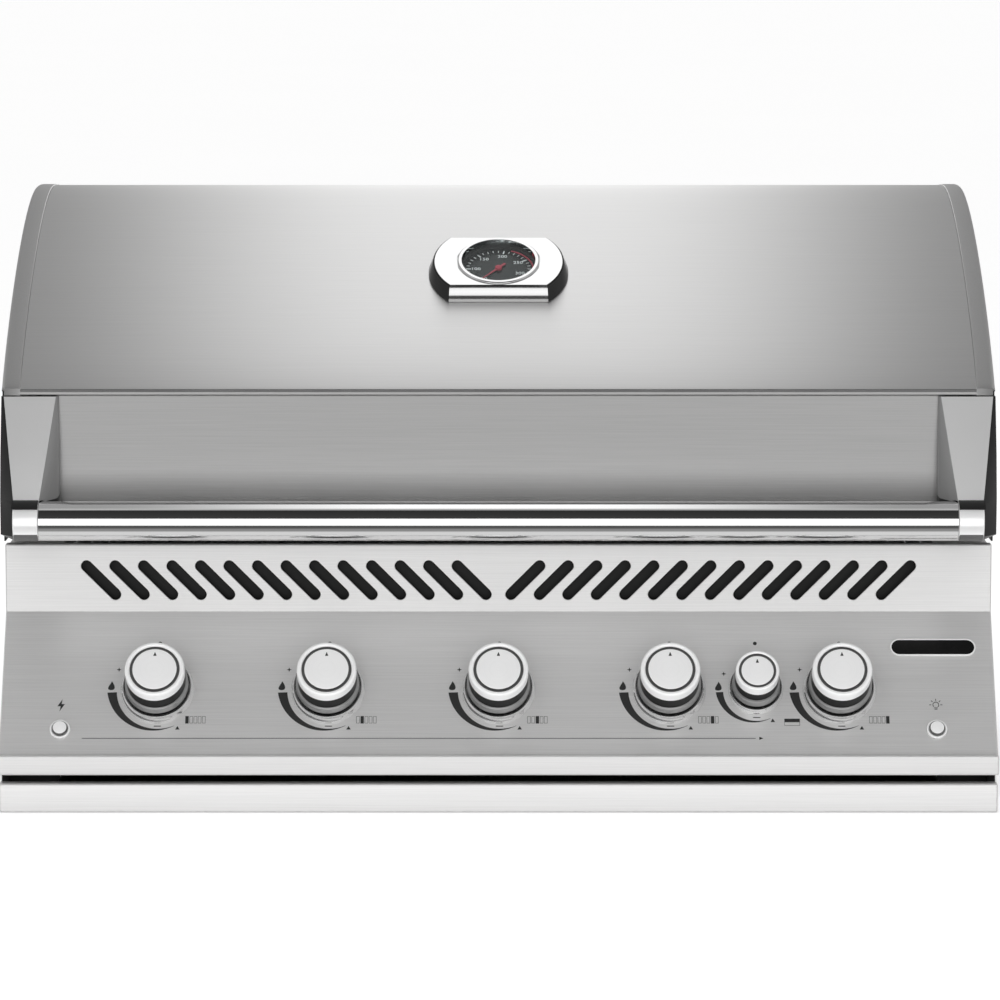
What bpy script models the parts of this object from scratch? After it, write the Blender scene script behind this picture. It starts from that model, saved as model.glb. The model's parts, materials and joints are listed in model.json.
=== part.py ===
# Built-in gas grill: roll-top lid, sloping control panel with six knobs, drip tray below.
# Units are metres. X runs along the front, -Y is the cook's side and Z is up.
# The origin is under the middle of the casing, on the plane of its floor.

import math

import bmesh
import bpy
from mathutils import Matrix, Vector

GAP = 0.0003  # clearance between pieces that touch
SHEET = 0.0015  # thickness of the outer sheet metal
THIN_SHEET = 0.0012  # thickness of the inner sheet metal

HALF_WIDTH = 0.485  # the lid and the control panel share this half width

# Control panel, as (y, z) points of its outer surface
PANEL_TOP = 0.252
PANEL_BACK = -0.2133
BAND_FRONT = -0.224
BAND_BOTTOM = 0.186
SLOPE_FOOT = (-0.311, 0.059)
LIP_FRONT = -0.320
LIP_BOTTOM = 0.0395
LIP_ROUND = 0.002
LIP_RETURN = -0.300

# Slanted slots in the vertical band, mirrored about the middle
SLOTS_PER_SIDE = 14
SLOT_PITCH = 0.0281
SLOT_HALF_WIDTH = 0.0043
SLOT_REACH = 0.0145  # from the slot's middle to each end centre, along X and along Z
SLOT_MIDDLE_Z = 0.2175
FIRST_SLOT_FOOT = 0.012  # end centre nearest the middle

# Controls: distances along X, and down the slope from its top edge
BURNER_X = (-0.333, -0.1665, 0.0, 0.1665, 0.333)
REAR_KNOB_X = 0.251
KNOB_DOWN = 0.0856
BUTTON_X = 0.4265
BUTTON_DOWN = 0.128
PLATE_X = 0.426
PLATE_DOWN = 0.0397

# Casing that drops into the counter, and the flange that rests on it
CASING_HALF = 0.460
CASING_FRONT = -0.212
CASING_REAR = 0.288
FLANGE_UNDER = 0.2465
FLANGE_TOP = 0.248
FLANGE_REAR = 0.3286

# Firebox
FIREBOX_HALF = 0.4315
FIREBOX_FRONT = -0.2065
FIREBOX_REAR = 0.2515
FIREBOX_FLOOR = 0.060
RIM_UNDER = FLANGE_TOP + GAP
RIM_TOP = RIM_UNDER + SHEET
WING_FRONT = (0.060, 0.410)
WING_FOOT_Y = 0.020
BACK_TOP = 0.470
GRID_LEDGE_TOP = 0.2302
PLATE_LEDGE_TOP = 0.1632
LEDGE_DEPTH = 0.015

BURNER_Z = 0.095
GRID_TOP = 0.244
RACK_Z = 0.390
RACK_Y = (0.075, 0.195)

# Lid: (y, z) points of the outer surface
LID_EDGE = (-0.241, 0.407)  # front edge of the curve
LID_HEM_BOTTOM = 0.401
RECESS_FRONT = -0.233
LID_BOTTOM = 0.257
LID_CREST = (0.139, 0.583)
CREST_HANDLE = (0.009, 0.5795)
EDGE_HANDLE = (-0.169, 0.4765)
LID_REAR = 0.300
REAR_ROUND = 0.060
SHELL_REAR_BOTTOM = 0.375
LID_PIVOT = (0.230, 0.330)
PIVOT_CORNER = 0.076  # radius of the end panel's lower rear corner about the pivot
END_RIM_WIDTH = 0.018
END_RIM_PROUD = 0.001
LINER_INSET = 0.014

# Handle
TUBE_RADIUS = 0.019
TUBE_AXIS = (-0.296, 0.285)
TUBE_HALF = 0.4442
COLLAR_START = 0.4445
COLLAR_END = 0.4688

# Thermometer on the lid's curve
GAUGE_AT = (-0.0945, 0.5095)
GAUGE_ELEVATION = 60.6

# Drip tray
TRAY_FRONT = -0.311
TRAY_FRONT_BOTTOM = 0.002
TRAY_FRONT_TOP = 0.0297
TRAY_HALF = 0.430

ROUND_SIDES = 20

# Looks: base colour, roughness and metallic value
BRUSHED = ((0.62, 0.62, 0.61), 0.34, 1.0)
SATIN = ((0.50, 0.50, 0.49), 0.42, 1.0)
CHROME = ((0.83, 0.83, 0.84), 0.08, 1.0)
CAST = ((0.55, 0.55, 0.54), 0.30, 1.0)
BLACK = ((0.015, 0.015, 0.016), 0.35, 0.0)
BRASS = ((0.70, 0.52, 0.22), 0.35, 1.0)
RED = ((0.65, 0.03, 0.03), 0.40, 0.0)
GLASS = ((0.90, 0.92, 0.92), 0.03, 0.0)


# Mesh tools

def loft(rings):
    # Joins closed rings of equal length, and caps the two ends.
    shape = bmesh.new()
    loops = [[shape.verts.new(point) for point in ring] for ring in rings]
    count = len(loops[0])
    for low, high in zip(loops, loops[1:]):
        for i in range(count):
            j = (i + 1) % count
            shape.faces.new((low[i], low[j], high[j], high[i]))
    shape.faces.new(loops[0][::-1])
    shape.faces.new(loops[-1])
    bmesh.ops.recalc_face_normals(shape, faces=shape.faces)
    return shape


def prism(outline, x_from, x_to):
    # A closed (y, z) outline drawn out along X.
    return loft([[(x, y, z) for y, z in outline] for x in (x_from, x_to)])


def box(low, high):
    outline = [(low[1], low[2]), (high[1], low[2]), (high[1], high[2]), (low[1], high[2])]
    return prism(outline, low[0], high[0])


def turned(profile, sides=ROUND_SIDES, ring=False):
    # Turns (radius, height) points about Z. A ring's profile closes on itself.
    shape = bmesh.new()
    loops = []
    for radius, height in profile:
        if radius == 0:
            loops.append([shape.verts.new((0, 0, height))])
            continue
        angles = [2 * math.pi * i / sides for i in range(sides)]
        loops.append([shape.verts.new((radius * math.cos(a), radius * math.sin(a), height)) for a in angles])
    pairs = list(zip(loops, loops[1:]))
    if ring:
        pairs.append((loops[-1], loops[0]))
    for low, high in pairs:
        for i in range(sides):
            j = (i + 1) % sides
            corners = (low[i % len(low)], low[j % len(low)], high[j % len(high)], high[i % len(high)])
            face = list(dict.fromkeys(corners))
            if len(face) > 2:
                shape.faces.new(face)
    bmesh.ops.recalc_face_normals(shape, faces=shape.faces)
    return shape


def rod(start, end, radius, sides=12):
    # A round bar between two points.
    start = Vector(start)
    along = Vector(end) - start
    shape = turned([(0, 0), (radius, 0), (radius, along.length), (0, along.length)], sides)
    turn = along.to_track_quat("Z", "X").to_matrix().to_4x4()
    shape.transform(Matrix.Translation(start) @ turn)
    return shape


def merged(shapes):
    # Puts several shapes in one mesh, unjoined.
    whole = bmesh.new()
    for shape in shapes:
        mesh = bpy.data.meshes.new("part_of_whole")
        shape.to_mesh(mesh)
        shape.free()
        whole.from_mesh(mesh)
        bpy.data.meshes.remove(mesh)
    return whole


def moved(shape, matrix):
    shape.transform(matrix)
    return shape


def offset_path(path, distance):
    # Moves an open path sideways, to its left for a positive distance, with mitred corners.
    points = [Vector(point) for point in path]
    lefts = []
    for a, b in zip(points, points[1:]):
        along = (b - a).normalized()
        lefts.append(Vector((-along.y, along.x)))
    result = [points[0] + lefts[0] * distance]
    for before, after, point in zip(lefts, lefts[1:], points[1:-1]):
        middle = (before + after).normalized()
        result.append(point + middle * distance / middle.dot(before))
    result.append(points[-1] + lefts[-1] * distance)
    return [tuple(point) for point in result]


def sheet(path, thickness):
    # The closed outline of a bent sheet whose outer face follows the path.
    return list(path) + offset_path(path, thickness)[::-1]


# Scene tools

def make_material(name, look):
    color, roughness, metallic = look
    material = bpy.data.materials.new(name + "_finish")
    material.use_nodes = True
    shader = material.node_tree.nodes["Principled BSDF"]
    shader.inputs["Base Color"].default_value = (*color, 1)
    shader.inputs["Roughness"].default_value = roughness
    shader.inputs["Metallic"].default_value = metallic
    if look is GLASS:
        shader.inputs["Transmission Weight"].default_value = 1
    return material


def add_object(name, shape):
    mesh = bpy.data.meshes.new(name)
    shape.to_mesh(mesh)
    shape.free()
    obj = bpy.data.objects.new(name, mesh)
    bpy.context.collection.objects.link(obj)
    return obj


def add_part(name, shape, look, parent=None):
    # Adds a piece. With a parent empty, its mesh is in the empty's own axes.
    obj = add_object(name, shape)
    obj.data.materials.append(make_material(name, look))
    obj.data.shade_smooth()
    obj.data.set_sharp_from_angle(angle=math.radians(32))
    obj.parent = parent
    return obj


def add_axis(name, matrix):
    # An empty on a joint's axis.
    axis = bpy.data.objects.new(name, None)
    axis.empty_display_size = 0.03
    axis.matrix_world = matrix
    bpy.context.collection.objects.link(axis)
    return axis


def boolean(obj, shape, operation, label):
    # Cuts or joins a helper shape, which stays in the scene as a wire guide.
    guide = add_object(obj.name + "_" + label, shape)
    guide.parent = obj.parent
    guide.hide_render = True
    guide.display_type = "WIRE"
    modifier = obj.modifiers.new(label, "BOOLEAN")
    modifier.operation = operation
    modifier.solver = "EXACT"
    modifier.object = guide


def cut(obj, shape, label):
    boolean(obj, shape, "DIFFERENCE", label)


def fuse(obj, shape, label):
    boolean(obj, shape, "UNION", label)


# Places and directions worked out from the driving dimensions

def slope_matrix(x, down):
    # Axes on the sloping panel: X along the grill, Y up the slope, Z outwards.
    top = Vector((x, BAND_FRONT, BAND_BOTTOM))
    foot = Vector((x, *SLOPE_FOOT))
    down_slope = (foot - top).normalized()
    across = Vector((1, 0, 0))
    outwards = across.cross(-down_slope)
    return frame_matrix(top + down_slope * down, across, -down_slope, outwards)


def gauge_matrix():
    # Axes of the thermometer, with Z square to the lid.
    lift = math.radians(GAUGE_ELEVATION)
    outwards = Vector((0, -math.cos(lift), math.sin(lift)))
    up_lid = Vector((0, math.sin(lift), math.cos(lift)))
    return frame_matrix(Vector((0, *GAUGE_AT)), Vector((1, 0, 0)), up_lid, outwards)


def frame_matrix(place, x_axis, y_axis, z_axis):
    matrix = Matrix((x_axis, y_axis, z_axis)).transposed().to_4x4()
    matrix.translation = place
    return matrix


def bezier(start, start_handle, end_handle, end, steps):
    points = []
    for i in range(steps + 1):
        t = i / steps
        weights = ((1 - t) ** 3, 3 * t * (1 - t) ** 2, 3 * t * t * (1 - t), t ** 3)
        knots = (start, start_handle, end_handle, end)
        points.append(tuple(sum(w * k[axis] for w, k in zip(weights, knots)) for axis in (0, 1)))
    return points


def arc(middle, radius, from_degrees, to_degrees, steps):
    points = []
    for i in range(steps + 1):
        angle = math.radians(from_degrees + (to_degrees - from_degrees) * i / steps)
        points.append((middle[0] + radius * math.cos(angle), middle[1] + radius * math.sin(angle)))
    return points


def lid_curve(curve_steps=14, round_steps=5):
    # The lid's outer line from its front edge over the crest and down the back.
    front = bezier(LID_EDGE, EDGE_HANDLE, CREST_HANDLE, LID_CREST, curve_steps)
    round_middle = (LID_REAR - REAR_ROUND, LID_CREST[1] - REAR_ROUND)
    return front + arc(round_middle, REAR_ROUND, 90, 0, round_steps)


# Control panel

def panel_line():
    return [
        (PANEL_BACK, PANEL_TOP),
        (BAND_FRONT, PANEL_TOP),
        (BAND_FRONT, BAND_BOTTOM),
        SLOPE_FOOT,
        (LIP_FRONT + LIP_ROUND, SLOPE_FOOT[1]),
        (LIP_FRONT, SLOPE_FOOT[1] - LIP_ROUND),
        (LIP_FRONT, LIP_BOTTOM + LIP_ROUND),
        (LIP_FRONT + LIP_ROUND, LIP_BOTTOM),
    ]


def slot_cutter(side, number):
    # One slanted slot with round ends, cut through the vertical band.
    foot_x = side * (FIRST_SLOT_FOOT + number * SLOT_PITCH)
    foot = (foot_x, SLOT_MIDDLE_Z - SLOT_REACH)
    head = (foot_x + side * 2 * SLOT_REACH, SLOT_MIDDLE_Z + SLOT_REACH)
    lean = 45 if side > 0 else 135
    outline = arc(head, SLOT_HALF_WIDTH, lean - 90, lean + 90, 3)
    outline += arc(foot, SLOT_HALF_WIDTH, lean + 90, lean + 270, 3)
    reach = 0.006
    return loft([[(x, y, z) for x, z in outline] for y in (BAND_FRONT - reach, BAND_FRONT + reach)])


def slope_hole(x, down, radius, sides=12):
    hole = turned([(0, -0.006), (radius, -0.006), (radius, 0.006), (0, 0.006)], sides)
    return moved(hole, slope_matrix(x, down))


def make_control_panel():
    line = panel_line()
    body = prism(line + [(PANEL_BACK, LIP_BOTTOM)], -HALF_WIDTH, HALF_WIDTH)
    panel = add_part("control_panel", body, BRUSHED)

    inside = offset_path(line, SHEET)
    past_back = PANEL_BACK + 0.01
    below = LIP_BOTTOM - 0.01
    inside[0] = (past_back, inside[0][1])
    inside[-1] = (inside[-1][0], LIP_BOTTOM + SHEET)
    inside += [(LIP_RETURN, LIP_BOTTOM + SHEET), (LIP_RETURN, below), (past_back, below)]
    cut(panel, prism(inside, -HALF_WIDTH + SHEET, HALF_WIDTH - SHEET), "hollow")

    slots = [slot_cutter(side, n) for side in (-1, 1) for n in range(SLOTS_PER_SIDE)]
    cut(panel, merged(slots), "slots")

    holes = [slope_hole(x, KNOB_DOWN, 0.007) for x in (*BURNER_X, REAR_KNOB_X)]
    holes += [slope_hole(x, BUTTON_DOWN, 0.0065) for x in (-BUTTON_X, BUTTON_X)]
    cut(panel, merged(holes), "holes")


def make_name_plate():
    # A bare plate with rounded ends.
    half_length = 0.041
    half_height = 0.0085
    rings = []
    for inset, height in ((0, GAP), (0, 0.0016), (0.0008, 0.0022)):
        radius = half_height - inset
        reach = half_length - half_height
        outline = arc((reach, 0), radius, -90, 90, 6) + arc((-reach, 0), radius, 90, 270, 6)
        rings.append([(x, y, height) for x, y in outline])
    add_part("name_plate", moved(loft(rings), slope_matrix(PLATE_X, PLATE_DOWN)), BLACK)


# Knobs, valves and buttons. Each is drawn about Z, with the panel's face at zero.

def knob_profile(body, cap, groove, height):
    # The outer line of a knob: wide skirt, narrower dark band, chrome cap with a ring groove.
    skirt_top = 0.36 * height
    band_top = 0.68 * height
    return [
        (0, 0.0045),
        (body, 0.0045),
        (body - 0.0008, skirt_top),
        (cap + 0.0006, skirt_top + 0.0005),
        (cap - 0.0004, band_top),
        (cap, band_top + 0.0005),
        (cap, height - 0.0022),
        (cap - 0.0020, height),
        (groove + 0.0006, height),
        (groove, height - 0.0010),
        (groove - 0.0006, height),
        (0, height),
    ]


def d_outline(radius, flat):
    # A round shaft with one flat, which stops the knob from turning on it.
    half = math.degrees(math.acos(flat / radius))
    return arc((0, 0), radius, 90 + half, 450 - half, 7)


def make_knob(label, x, body, cap, groove, height):
    place = slope_matrix(x, KNOB_DOWN)
    rim = body + 0.0050
    bezel = turned([
        (0.0120, GAP),
        (rim, GAP),
        (rim - 0.0004, 0.0034),
        (rim - 0.0030, 0.0042),
        (body + 0.0010, 0.0012),
    ], ring=True)
    add_part("knob_bezel_" + label, moved(bezel, place), CHROME)

    axis = add_axis("knob_axis_" + label, place)
    shaft = [[(x, y, z) for x, y in d_outline(0.0040, 0.0026)] for z in (-0.0255, 0.0285)]
    add_part("valve_rotor_" + label, loft(shaft), BRASS, axis)
    knob = add_part("knob_" + label, turned(knob_profile(body, cap, groove, height)), CHROME, axis)
    socket = [[(x, y, z) for x, y in d_outline(0.0044, 0.0030)] for z in (0.002, 0.0325)]
    cut(knob, loft(socket), "socket")


def make_knobs():
    for number, x in enumerate(BURNER_X, start=1):
        make_knob(str(number), x, 0.0320, 0.0285, 0.0240, 0.050)
    make_knob("rear", REAR_KNOB_X, 0.0247, 0.0208, 0.0180, 0.044)


def make_button(label, x):
    place = slope_matrix(x, BUTTON_DOWN)
    ring = turned([(0.0079, GAP), (0.0100, GAP), (0.0100, 0.0018), (0.0090, 0.0028), (0.0079, 0.0022)], 14, True)
    add_part(label + "_bezel", moved(ring, place), CHROME)
    axis = add_axis(label + "_axis", place)
    push = turned([
        (0, -0.0150),
        (0.0050, -0.0150),
        (0.0050, 0.0025),
        (0.0075, 0.0025),
        (0.0075, 0.0046),
        (0.0062, 0.0056),
        (0, 0.0060),
    ], 14)
    add_part(label, push, CHROME, axis)


# Gas train

def make_manifold():
    pipe_y = -0.236
    pipe_z = 0.072
    inlet_x = 0.425
    pipe = rod((-0.352, pipe_y, pipe_z), (inlet_x + 0.011, pipe_y, pipe_z), 0.011, 10)
    manifold = add_part("gas_manifold", pipe, BRASS)

    valves = []
    for x in (*BURNER_X, REAR_KNOB_X):
        valve = turned([(0, -0.050), (0.0110, -0.050), (0.0140, -0.046), (0.0140, -0.022), (0.0095, -0.014), (0, -0.014)], 8)
        valves.append(moved(valve, slope_matrix(x, KNOB_DOWN)))
    fuse(manifold, merged(valves), "valves")

    nozzles = [rod((x, -0.243, BURNER_Z), (x, -0.2165, BURNER_Z), 0.0055, 6) for x in BURNER_X]
    inlet = rod((inlet_x, pipe_y, pipe_z), (inlet_x, pipe_y, 0.046), 0.0095, 6)
    brackets = [box((x - 0.010, pipe_y - 0.004, pipe_z - 0.005), (x + 0.010, CASING_FRONT - GAP, pipe_z + 0.005))
                for x in (-0.250, 0.083)]
    fuse(manifold, merged(nozzles + brackets + [inlet]), "nozzles_brackets_and_inlet")

    bores = []
    for x in (*BURNER_X, REAR_KNOB_X):
        bore = turned([(0, -0.026), (0.0048, -0.026), (0.0048, 0), (0, 0)], 8)
        bores.append(moved(bore, slope_matrix(x, KNOB_DOWN)))
    cut(manifold, merged(bores), "stem_bores")


def make_burner(number, x):
    # Venturi mouth at the front, perforated tube behind it, locating pin at the far end.
    profile = [
        (0, -0.185),
        (0.0120, -0.192),
        (0.0130, -0.2210),
        (0.0150, -0.2210),
        (0.0150, -0.150),
        (0.0190, -0.125),
        (0.0190, 0.2150),
        (0.0045, 0.2300),
        (0.0045, 0.2560),
        (0, 0.2560),
    ]
    burner = turned(profile, 12)
    lay_down = Matrix.Translation((x, 0, BURNER_Z)) @ Matrix.Rotation(math.radians(-90), 4, "X")
    add_part("burner_" + str(number), moved(burner, lay_down), SATIN)


def make_rear_burner():
    low = (-0.190, 0.218, 0.285)
    high = (0.190, FIREBOX_REAR - SHEET - GAP, 0.385)
    burner = add_part("rear_burner", box(low, high), SATIN)
    border = 0.012
    tile_depth = 0.008
    cut(burner, box((low[0] + border, low[1] - 0.01, low[2] + border),
                    (high[0] - border, low[1] + tile_depth, high[2] - border)), "tile_recess")
    bars = []
    for n in range(4):
        z = low[2] + border + 0.015 + n * 0.0155
        bars.append(rod((low[0] + 0.004, low[1] + 0.004, z), (high[0] - 0.004, low[1] + 0.004, z), 0.002, 6))
    fuse(burner, merged(bars), "guard_bars")


def make_sear_plate(number, x):
    # A tent over the burner, standing on a foot along each side.
    top = PLATE_LEDGE_TOP + GAP + SHEET
    line = [(-0.060, top), (-0.050, top), (-0.004, 0.200), (0.004, 0.200), (0.050, top), (0.060, top)]
    outline = sheet(line, -SHEET)
    front = FIREBOX_FRONT + SHEET + 0.0015
    rear = FIREBOX_REAR - SHEET - 0.0015
    plate = loft([[(x + u, y, z) for u, z in outline] for y in (front, rear)])
    plate = add_part("sear_plate_" + str(number), plate, SATIN)
    notches = []
    for n in range(3):
        y = front + 0.070 + n * 0.125
        notches.append(box((x - 0.034, y, top + 0.004), (x - 0.016, y + 0.045, 0.210)))
        notches.append(box((x + 0.016, y, top + 0.004), (x + 0.034, y + 0.045, 0.210)))
    cut(plate, merged(notches), "vents")


def make_grid(name, middle):
    # Round rods welded across two flat bars that sit on the firebox ledges.
    rod_radius = 0.004
    half = 0.1415
    rods = 11
    bar_half = 0.005
    front = FIREBOX_FRONT + SHEET + 0.0035
    rear = FIREBOX_REAR - SHEET - 0.0035
    under = GRID_LEDGE_TOP + GAP
    bar_top = GRID_TOP - 1.4 * rod_radius
    ledge_middle = LEDGE_DEPTH / 2
    bars = []
    for y in (FIREBOX_FRONT + SHEET + ledge_middle, FIREBOX_REAR - SHEET - ledge_middle):
        bars.append(box((middle - half, y - bar_half, under), (middle + half, y + bar_half, bar_top)))
    grid = add_part(name, merged(bars), SATIN)
    pitch = 2 * (half - rod_radius - 0.001) / (rods - 1)
    lengths = []
    for n in range(rods):
        x = middle - half + rod_radius + 0.001 + n * pitch
        lengths.append(rod((x, front, GRID_TOP - rod_radius), (x, rear, GRID_TOP - rod_radius), rod_radius, 6))
    fuse(grid, merged(lengths), "rods")


def make_warming_rack():
    # Long rods, the outer two reaching into the wings, under three short cross rods.
    rod_radius = 0.003
    long_rods = []
    for n in range(5):
        y = RACK_Y[0] + n * (RACK_Y[1] - RACK_Y[0]) / 4
        reach = FIREBOX_HALF + 0.004 if n in (0, 4) else FIREBOX_HALF - 0.022
        long_rods.append(rod((-reach, y, RACK_Z), (reach, y, RACK_Z), rod_radius, 6))
    rack = add_part("warming_rack", merged(long_rods), SATIN)
    z = RACK_Z + 2 * rod_radius - 0.0017
    front = RACK_Y[0] - 0.012
    rear = RACK_Y[1] + 0.012
    cross_rods = [rod((x, front, z), (x, rear, z), rod_radius, 6) for x in (-0.401, 0, 0.401)]
    fuse(rack, merged(cross_rods), "cross_rods")


# Casing and firebox

def rectangle(half_x, front, rear, z):
    return [(-half_x, front, z), (half_x, front, z), (half_x, rear, z), (-half_x, rear, z)]


def make_casing():
    wall = SHEET
    lip = 0.001
    body = loft([
        rectangle(CASING_HALF, CASING_FRONT, CASING_REAR, 0),
        rectangle(CASING_HALF, CASING_FRONT, CASING_REAR, FLANGE_UNDER),
        rectangle(HALF_WIDTH, CASING_FRONT - lip, FLANGE_REAR, FLANGE_UNDER),
        rectangle(HALF_WIDTH, CASING_FRONT - lip, FLANGE_REAR, FLANGE_TOP),
    ])
    casing = add_part("casing", body, BRUSHED)
    cut(casing, box((-CASING_HALF + wall, CASING_FRONT + wall, wall),
                    (CASING_HALF - wall, CASING_REAR - wall, 0.3)), "hollow")
    tray_slot = box((-TRAY_HALF - 0.004, CASING_FRONT - 0.01, wall + 0.001),
                    (TRAY_HALF + 0.004, CASING_FRONT + 0.01, 0.034))
    windows = [rod((x, CASING_FRONT - 0.01, BURNER_Z), (x, CASING_FRONT + 0.01, BURNER_Z), 0.020, 10) for x in BURNER_X]
    vents = [box((x - 0.006, CASING_REAR - 0.01, 0.180), (x + 0.006, CASING_REAR + 0.01, 0.225))
             for x in (-0.36, -0.33, -0.30, 0.30, 0.33, 0.36)]
    cut(casing, merged([tray_slot] + windows + vents), "front_and_rear_openings")


def make_firebox():
    wall = SHEET
    side = [
        (FIREBOX_FRONT, FIREBOX_FLOOR),
        (FIREBOX_FRONT, RIM_TOP - 0.0006),
        (WING_FOOT_Y, RIM_TOP - 0.0006),
        WING_FRONT,
        (0.222, BACK_TOP),
        (FIREBOX_REAR, BACK_TOP),
        (FIREBOX_REAR, FIREBOX_FLOOR),
    ]
    firebox = add_part("firebox", prism(side, -FIREBOX_HALF, FIREBOX_HALF), SATIN)
    rim = box((-0.470, CASING_FRONT, RIM_UNDER), (0.470, 0.300, RIM_TOP))
    fuse(firebox, rim, "rim")
    inner_front = FIREBOX_FRONT + wall
    inner_rear = FIREBOX_REAR - wall
    inner_half = FIREBOX_HALF - wall
    cut(firebox, box((-inner_half, inner_front, FIREBOX_FLOOR + wall), (inner_half, inner_rear, 0.5)), "hollow")

    ledges = []
    for top in (GRID_LEDGE_TOP, PLATE_LEDGE_TOP):
        reach = LEDGE_DEPTH
        bite = 0.0008
        ledges.append(box((-inner_half - bite, inner_front - bite, top - wall), (inner_half + bite, inner_front + reach, top)))
        ledges.append(box((-inner_half - bite, inner_rear - reach, top - wall), (inner_half + bite, inner_rear + bite, top)))
    fuse(firebox, merged(ledges), "ledges")

    grease_opening = box((-0.380, -0.175, FIREBOX_FLOOR - 0.01), (0.380, 0.215, FIREBOX_FLOOR + 0.01))
    holes = [grease_opening]
    for x in BURNER_X:
        holes.append(rod((x, inner_front - 0.01, BURNER_Z), (x, inner_front + 0.01, BURNER_Z), 0.0160, 10))
        holes.append(rod((x, inner_rear - 0.01, BURNER_Z), (x, inner_rear + 0.01, BURNER_Z), 0.0054, 6))
    for side_x in (-inner_half, inner_half):
        low_x = side_x - 0.01
        high_x = side_x + 0.01
        holes.append(rod((low_x, *LID_PIVOT), (high_x, *LID_PIVOT), 0.0056, 12))
        holes += [rod((low_x, y, RACK_Z), (high_x, y, RACK_Z), 0.0039, 6) for y in RACK_Y]
    cut(firebox, merged(holes), "holes")


def make_ignition_module():
    rear = CASING_FRONT - GAP
    body = add_part("ignition_module", box((-0.415, rear - 0.032, 0.095), (-0.365, rear, 0.135)), BLACK)
    cap = rod((-0.390, rear - 0.030, 0.115), (-0.390, rear - 0.036, 0.115), 0.012, 16)
    fuse(body, cap, "battery_cap")


# Drip tray

def make_drip_tray():
    floor = 0.0028
    front = TRAY_FRONT + 0.0125
    pan = add_part("drip_tray_pan", box((-TRAY_HALF, front, floor), (TRAY_HALF, 0.245, 0.0270)), SATIN)
    wall = THIN_SHEET
    cut(pan, box((-TRAY_HALF + wall, front + wall, floor + wall), (TRAY_HALF - wall, 0.245 - wall, 0.05)), "hollow")

    depth = 0.012
    line = [
        (TRAY_FRONT + depth, TRAY_FRONT_BOTTOM),
        (TRAY_FRONT + LIP_ROUND, TRAY_FRONT_BOTTOM),
        (TRAY_FRONT, TRAY_FRONT_BOTTOM + LIP_ROUND),
        (TRAY_FRONT, TRAY_FRONT_TOP - LIP_ROUND),
        (TRAY_FRONT + LIP_ROUND, TRAY_FRONT_TOP),
        (TRAY_FRONT + depth, TRAY_FRONT_TOP),
    ]
    front_sheet = add_part("tray_front", prism(line, -HALF_WIDTH, HALF_WIDTH), BRUSHED)
    inside = offset_path(line, -SHEET)
    past = TRAY_FRONT + depth + 0.01
    inside[0] = (past, inside[0][1])
    inside[-1] = (past, inside[-1][1])
    cut(front_sheet, prism(inside, -HALF_WIDTH + SHEET, HALF_WIDTH - SHEET), "hollow")


# Lid

def shell_line():
    # Outer face of the lid's sheet, from its lower front return to its lower back return.
    front = [
        (RECESS_FRONT + 0.0155, LID_BOTTOM),
        (RECESS_FRONT, LID_BOTTOM),
        (RECESS_FRONT, LID_HEM_BOTTOM),
        (LID_EDGE[0], LID_HEM_BOTTOM),
    ]
    back = [(LID_REAR, SHELL_REAR_BOTTOM), (LID_REAR - 0.0155, SHELL_REAR_BOTTOM)]
    return front + lid_curve() + back


def liner_line():
    curve = offset_path(lid_curve(12, 4), -LINER_INSET)
    front_y = RECESS_FRONT + LINER_INSET
    curve = [point for point in curve if point[0] > front_y + 0.012]
    front = [(front_y, LID_BOTTOM + SHEET + GAP), (front_y, 0.400)]
    back = [(LID_REAR - LINER_INSET, SHELL_REAR_BOTTOM + SHEET + GAP)]
    return front + curve + back


def gauge_hole(radius):
    hole = turned([(0, -0.040), (radius, -0.040), (radius, 0.010), (0, 0.010)], 12)
    return moved(hole, gauge_matrix())


def make_lid_sheets():
    half = HALF_WIDTH - END_RIM_WIDTH - GAP
    outline = sheet(shell_line(), -SHEET)
    shell = add_part("lid_shell", prism(outline, -half, half), BRUSHED)
    cut(shell, gauge_hole(0.0055), "gauge_hole")
    liner_half = half - 0.012
    liner = add_part("lid_liner", prism(sheet(liner_line(), -THIN_SHEET), -liner_half, liner_half), SATIN)
    cut(liner, gauge_hole(0.0055), "gauge_hole")


def end_outline(inset):
    # The lid's end seen from the side, drawn in by the inset along its curved edge.
    proud = END_RIM_PROUD - inset
    curve = offset_path(lid_curve() + [(LID_REAR, LID_PIVOT[1])], proud)[:-1]
    edge_y = max(LID_EDGE[0], curve[0][0])
    edge_bottom = LID_EDGE[1] - SHEET
    corner = PIVOT_CORNER - max(0, -proud)
    rear_angle = -math.degrees(math.acos((LID_REAR + proud - LID_PIVOT[0]) / corner))
    lower_angle = -math.degrees(math.asin((LID_PIVOT[1] - LID_BOTTOM) / PIVOT_CORNER))
    lower = arc(LID_PIVOT, corner, rear_angle, lower_angle, 6)
    lower[-1] = (lower[-1][0], LID_BOTTOM)
    front_y = RECESS_FRONT + 0.001
    front = [(front_y, LID_BOTTOM), (front_y, edge_bottom), (edge_y, edge_bottom)]
    return [(edge_y, curve[0][1])] + curve[1:] + lower + front


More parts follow.
